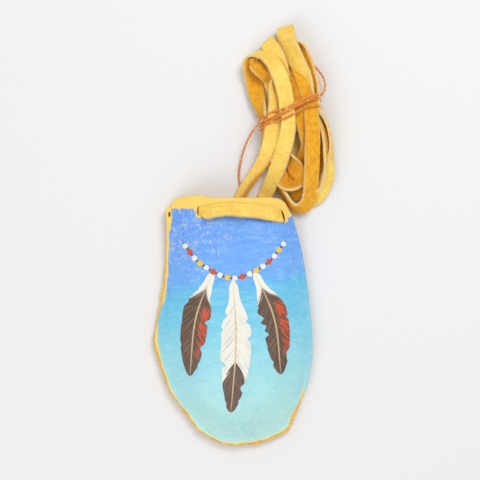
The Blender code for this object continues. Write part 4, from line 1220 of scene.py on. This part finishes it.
# over the hank from left to right and back below it, four times: pixels and mm above the table
overTop = (
    ((261.4, 119.3, 5.6), (263.7, 117.6, 7.9), (269, 113.6, 8.1), (276, 110.8, 8.1), (283.5, 109.0, 10.2),
     (291, 105.6, 10.3), (299, 101.0, 9.4), (307, 97.0, 9.4), (313.0, 94.9, 9.3), (317.0, 94.6, 8.5),
     (319.0, 95.4, 6.6)),
    ((261.0, 122.4, 5.4), (263.7, 120.8, 8.1), (269, 118.6, 8.3), (276, 115.6, 8.4), (283.5, 111.6, 10.3),
     (291, 107.2, 10.3), (299, 103.0, 9.4), (307, 98.8, 9.4), (313.0, 96.8, 9.3), (317.2, 96.6, 8.4),
     (319.4, 97.8, 6.4)),
    ((260.8, 126.4, 5.2), (263.4, 124.2, 7.9), (269, 121.2, 8.3), (276, 117.6, 8.7), (283.5, 113.2, 10.4),
     (291, 109.0, 10.4), (299, 104.8, 9.5), (307, 100.8, 9.5), (313.2, 98.8, 9.4), (317.6, 98.8, 8.3),
     (319.8, 100.4, 6.2)),
    ((260.2, 130.2, 5.0), (263.0, 127.2, 7.6), (269, 123.2, 8.1), (276, 120.4, 8.3), (283.5, 118.8, 10.1),
     (291, 115.4, 10.3), (299, 110.2, 9.4), (306.5, 106.8, 9.3), (313.4, 105.2, 9.2), (318.6, 106.0, 8.2),
     (321.2, 107.8, 6.4)),
)
threadTail = (
    (240.6, 187.0, 0.42), (239.7, 183.5, 0.42), (238.9, 177.5, 0.45), (239.0, 172.0, 0.6),
    (240.2, 164.5, 1.2), (242.3, 155, 2.1), (245.2, 145.6, 3.4), (248.9, 137.7, 5.0), (253.4, 130.4, 6.6),
    (258.6, 124.2, 7.7), (262.4, 120.6, 8.3), (263.4, 118.6, 8.2), (261.6, 118.0, 7.2),
)
threadLoop = (
    (320.4, 108.0, 4.6), (319.4, 104.5, 3.4), (318.2, 99.0, 3.8), (319.0, 96.2, 4.6), (321.6, 94.8, 4.9),
    (324.0, 91.8, 4.8), (325.2, 87.0, 4.5), (324.9, 82.0, 4.1), (322.6, 76.2, 3.6), (318.8, 71.0, 3.0),
    (314.9, 66.4, 2.2), (310.8, 62.8, 1.3), (306.6, 60.0, 0.6),
)
threadStub = (
    (255.4, 116.2, 4.6), (257.6, 116.9, 5.2), (260.2, 118.6, 6.2), (263.4, 120.0, 7.4), (266.0, 119.2, 8.4),
    (267.4, 118.0, 8.6),
)
threadRoute = [*threadTail, *overTop[0]]
for (*_, end), turn in zip(overTop, overTop[1:]):
    start = turn[0]
    (rightX, down), (leftX, up), low = *thread["below"], thread["belowHeight"]
    threadRoute += [(end[0] + 0.2, end[1] + 0.8, 4.2), (end[0] - 2.4, end[1] + 1.4, 1.8),
                    (rightX, end[1] + down, low), (leftX, start[1] - up, low),
                    (start[0] + 4, start[1] - 0.8, 1.6), (start[0] - 0.6, start[1], 3.4), *turn]
threadRoute += threadLoop
threadKnots = [tuple(at(*p)) for p in threadRoute]
waxThread, threadRows = threadMesh("waxThread", threadKnots, "thread", thread["size"])
stub, _ = threadMesh("threadStub", [tuple(at(*p)) for p in threadStub], "thread", thread["size"], taper=0.5)
for piece in (waxThread, stub):
    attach(piece, "root")
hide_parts("tie_wraps", "tie_tail", "tie_loop")

# the stitch at the top of the left seam
stitchKnots = [at(*thread["stitchSpot"]) + Vector(step) * mm for step in (
    (0, -0.75, -1.4), (0, -0.68, -0.2), (0.02, -0.4, 0.2), (0.03, 0, 0.3), (0.02, 0.4, 0.2), (0, 0.68, -0.2),
    (0, 0.75, -1.4))]
stitch, _ = threadMesh("cornerStitch", [tuple(p) for p in stitchKnots], "stitch", thread["stitchSize"])
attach(stitch, "root")
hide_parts("corner_stitch")

# The floor, the lights and the camera
print("stage: floor, lights and camera")
studio = {
    "floor": (0.80, 0.80, 0.81),
    "floorShade": 0.985,  # of its darker specks
    "floorSize": 1.2,
    "world": 0.62,
    "aim": (0.002, 0.03, 0.005),
    # place, size and power
    "keyLight": ((0.16, 0.30, 0.46), 0.26, 1.3),
    "fillLight": ((-0.26, -0.34, 0.44), 0.5, 1.1),
    "film": 36,  # the camera's width in mm
}


def makeFloor():
    size = studio["floorSize"]
    material, tree = newMaterial("paleFloor", 0.85)
    pale, dark = ((*(c * shade for c in studio["floor"]), 1) for shade in (1, studio["floorShade"]))
    share = between(tree, speckle(tree, 900, 3), 0.4, 0.6)
    tone = addNode(tree, "ShaderNodeMix", {0: share, 6: pale, 7: dark}, data_type="RGBA").outputs[2]
    tree.links.new(tone, tree.nodes["Principled BSDF"].inputs["Base Color"])
    materials["floor"] = material
    floor = meshPiece("floor", [(-size, -size, 0), (size, -size, 0), (size, size, 0), (-size, size, 0)],
                      [(0, 1, 2, 3)], ["floor"])


def areaLight(name):
    place, size, power = studio[name]
    light = bpy.data.lights.new(name, "AREA")
    light.shape = "DISK"
    light.size = size
    light.energy = power
    lamp = bpy.data.objects.new(name, light)
    bpy.context.collection.objects.link(lamp)
    lamp.location = place
    lamp.rotation_euler = (Vector(studio["aim"]) - Vector(place)).to_track_quat("-Z", "Y").to_euler()


makeFloor()
areaLight("keyLight")
areaLight("fillLight")
world = bpy.data.worlds.new("studio") if bpy.context.scene.world is None else bpy.context.scene.world
bpy.context.scene.world = world
world.use_nodes = True
world.node_tree.nodes["Background"].inputs[0].default_value = (1, 1, 1, 1)
world.node_tree.nodes["Background"].inputs[1].default_value = studio["world"]

cameraData = bpy.data.cameras.new("camera")
camera = bpy.data.objects.new("camera", cameraData)
bpy.context.collection.objects.link(camera)
camera.location = at(picture["middle"], picture["middle"]) + Vector((0, 0, picture["height"]))
camera.rotation_euler = (0, 0, 0)
cameraData.sensor_width = studio["film"]
cameraData.lens = studio["film"] * picture["height"] / (picture["size"] * picture["pixel"])
bpy.context.scene.camera = camera
bpy.context.scene.view_settings.view_transform = "Standard"

print("stage: finish")
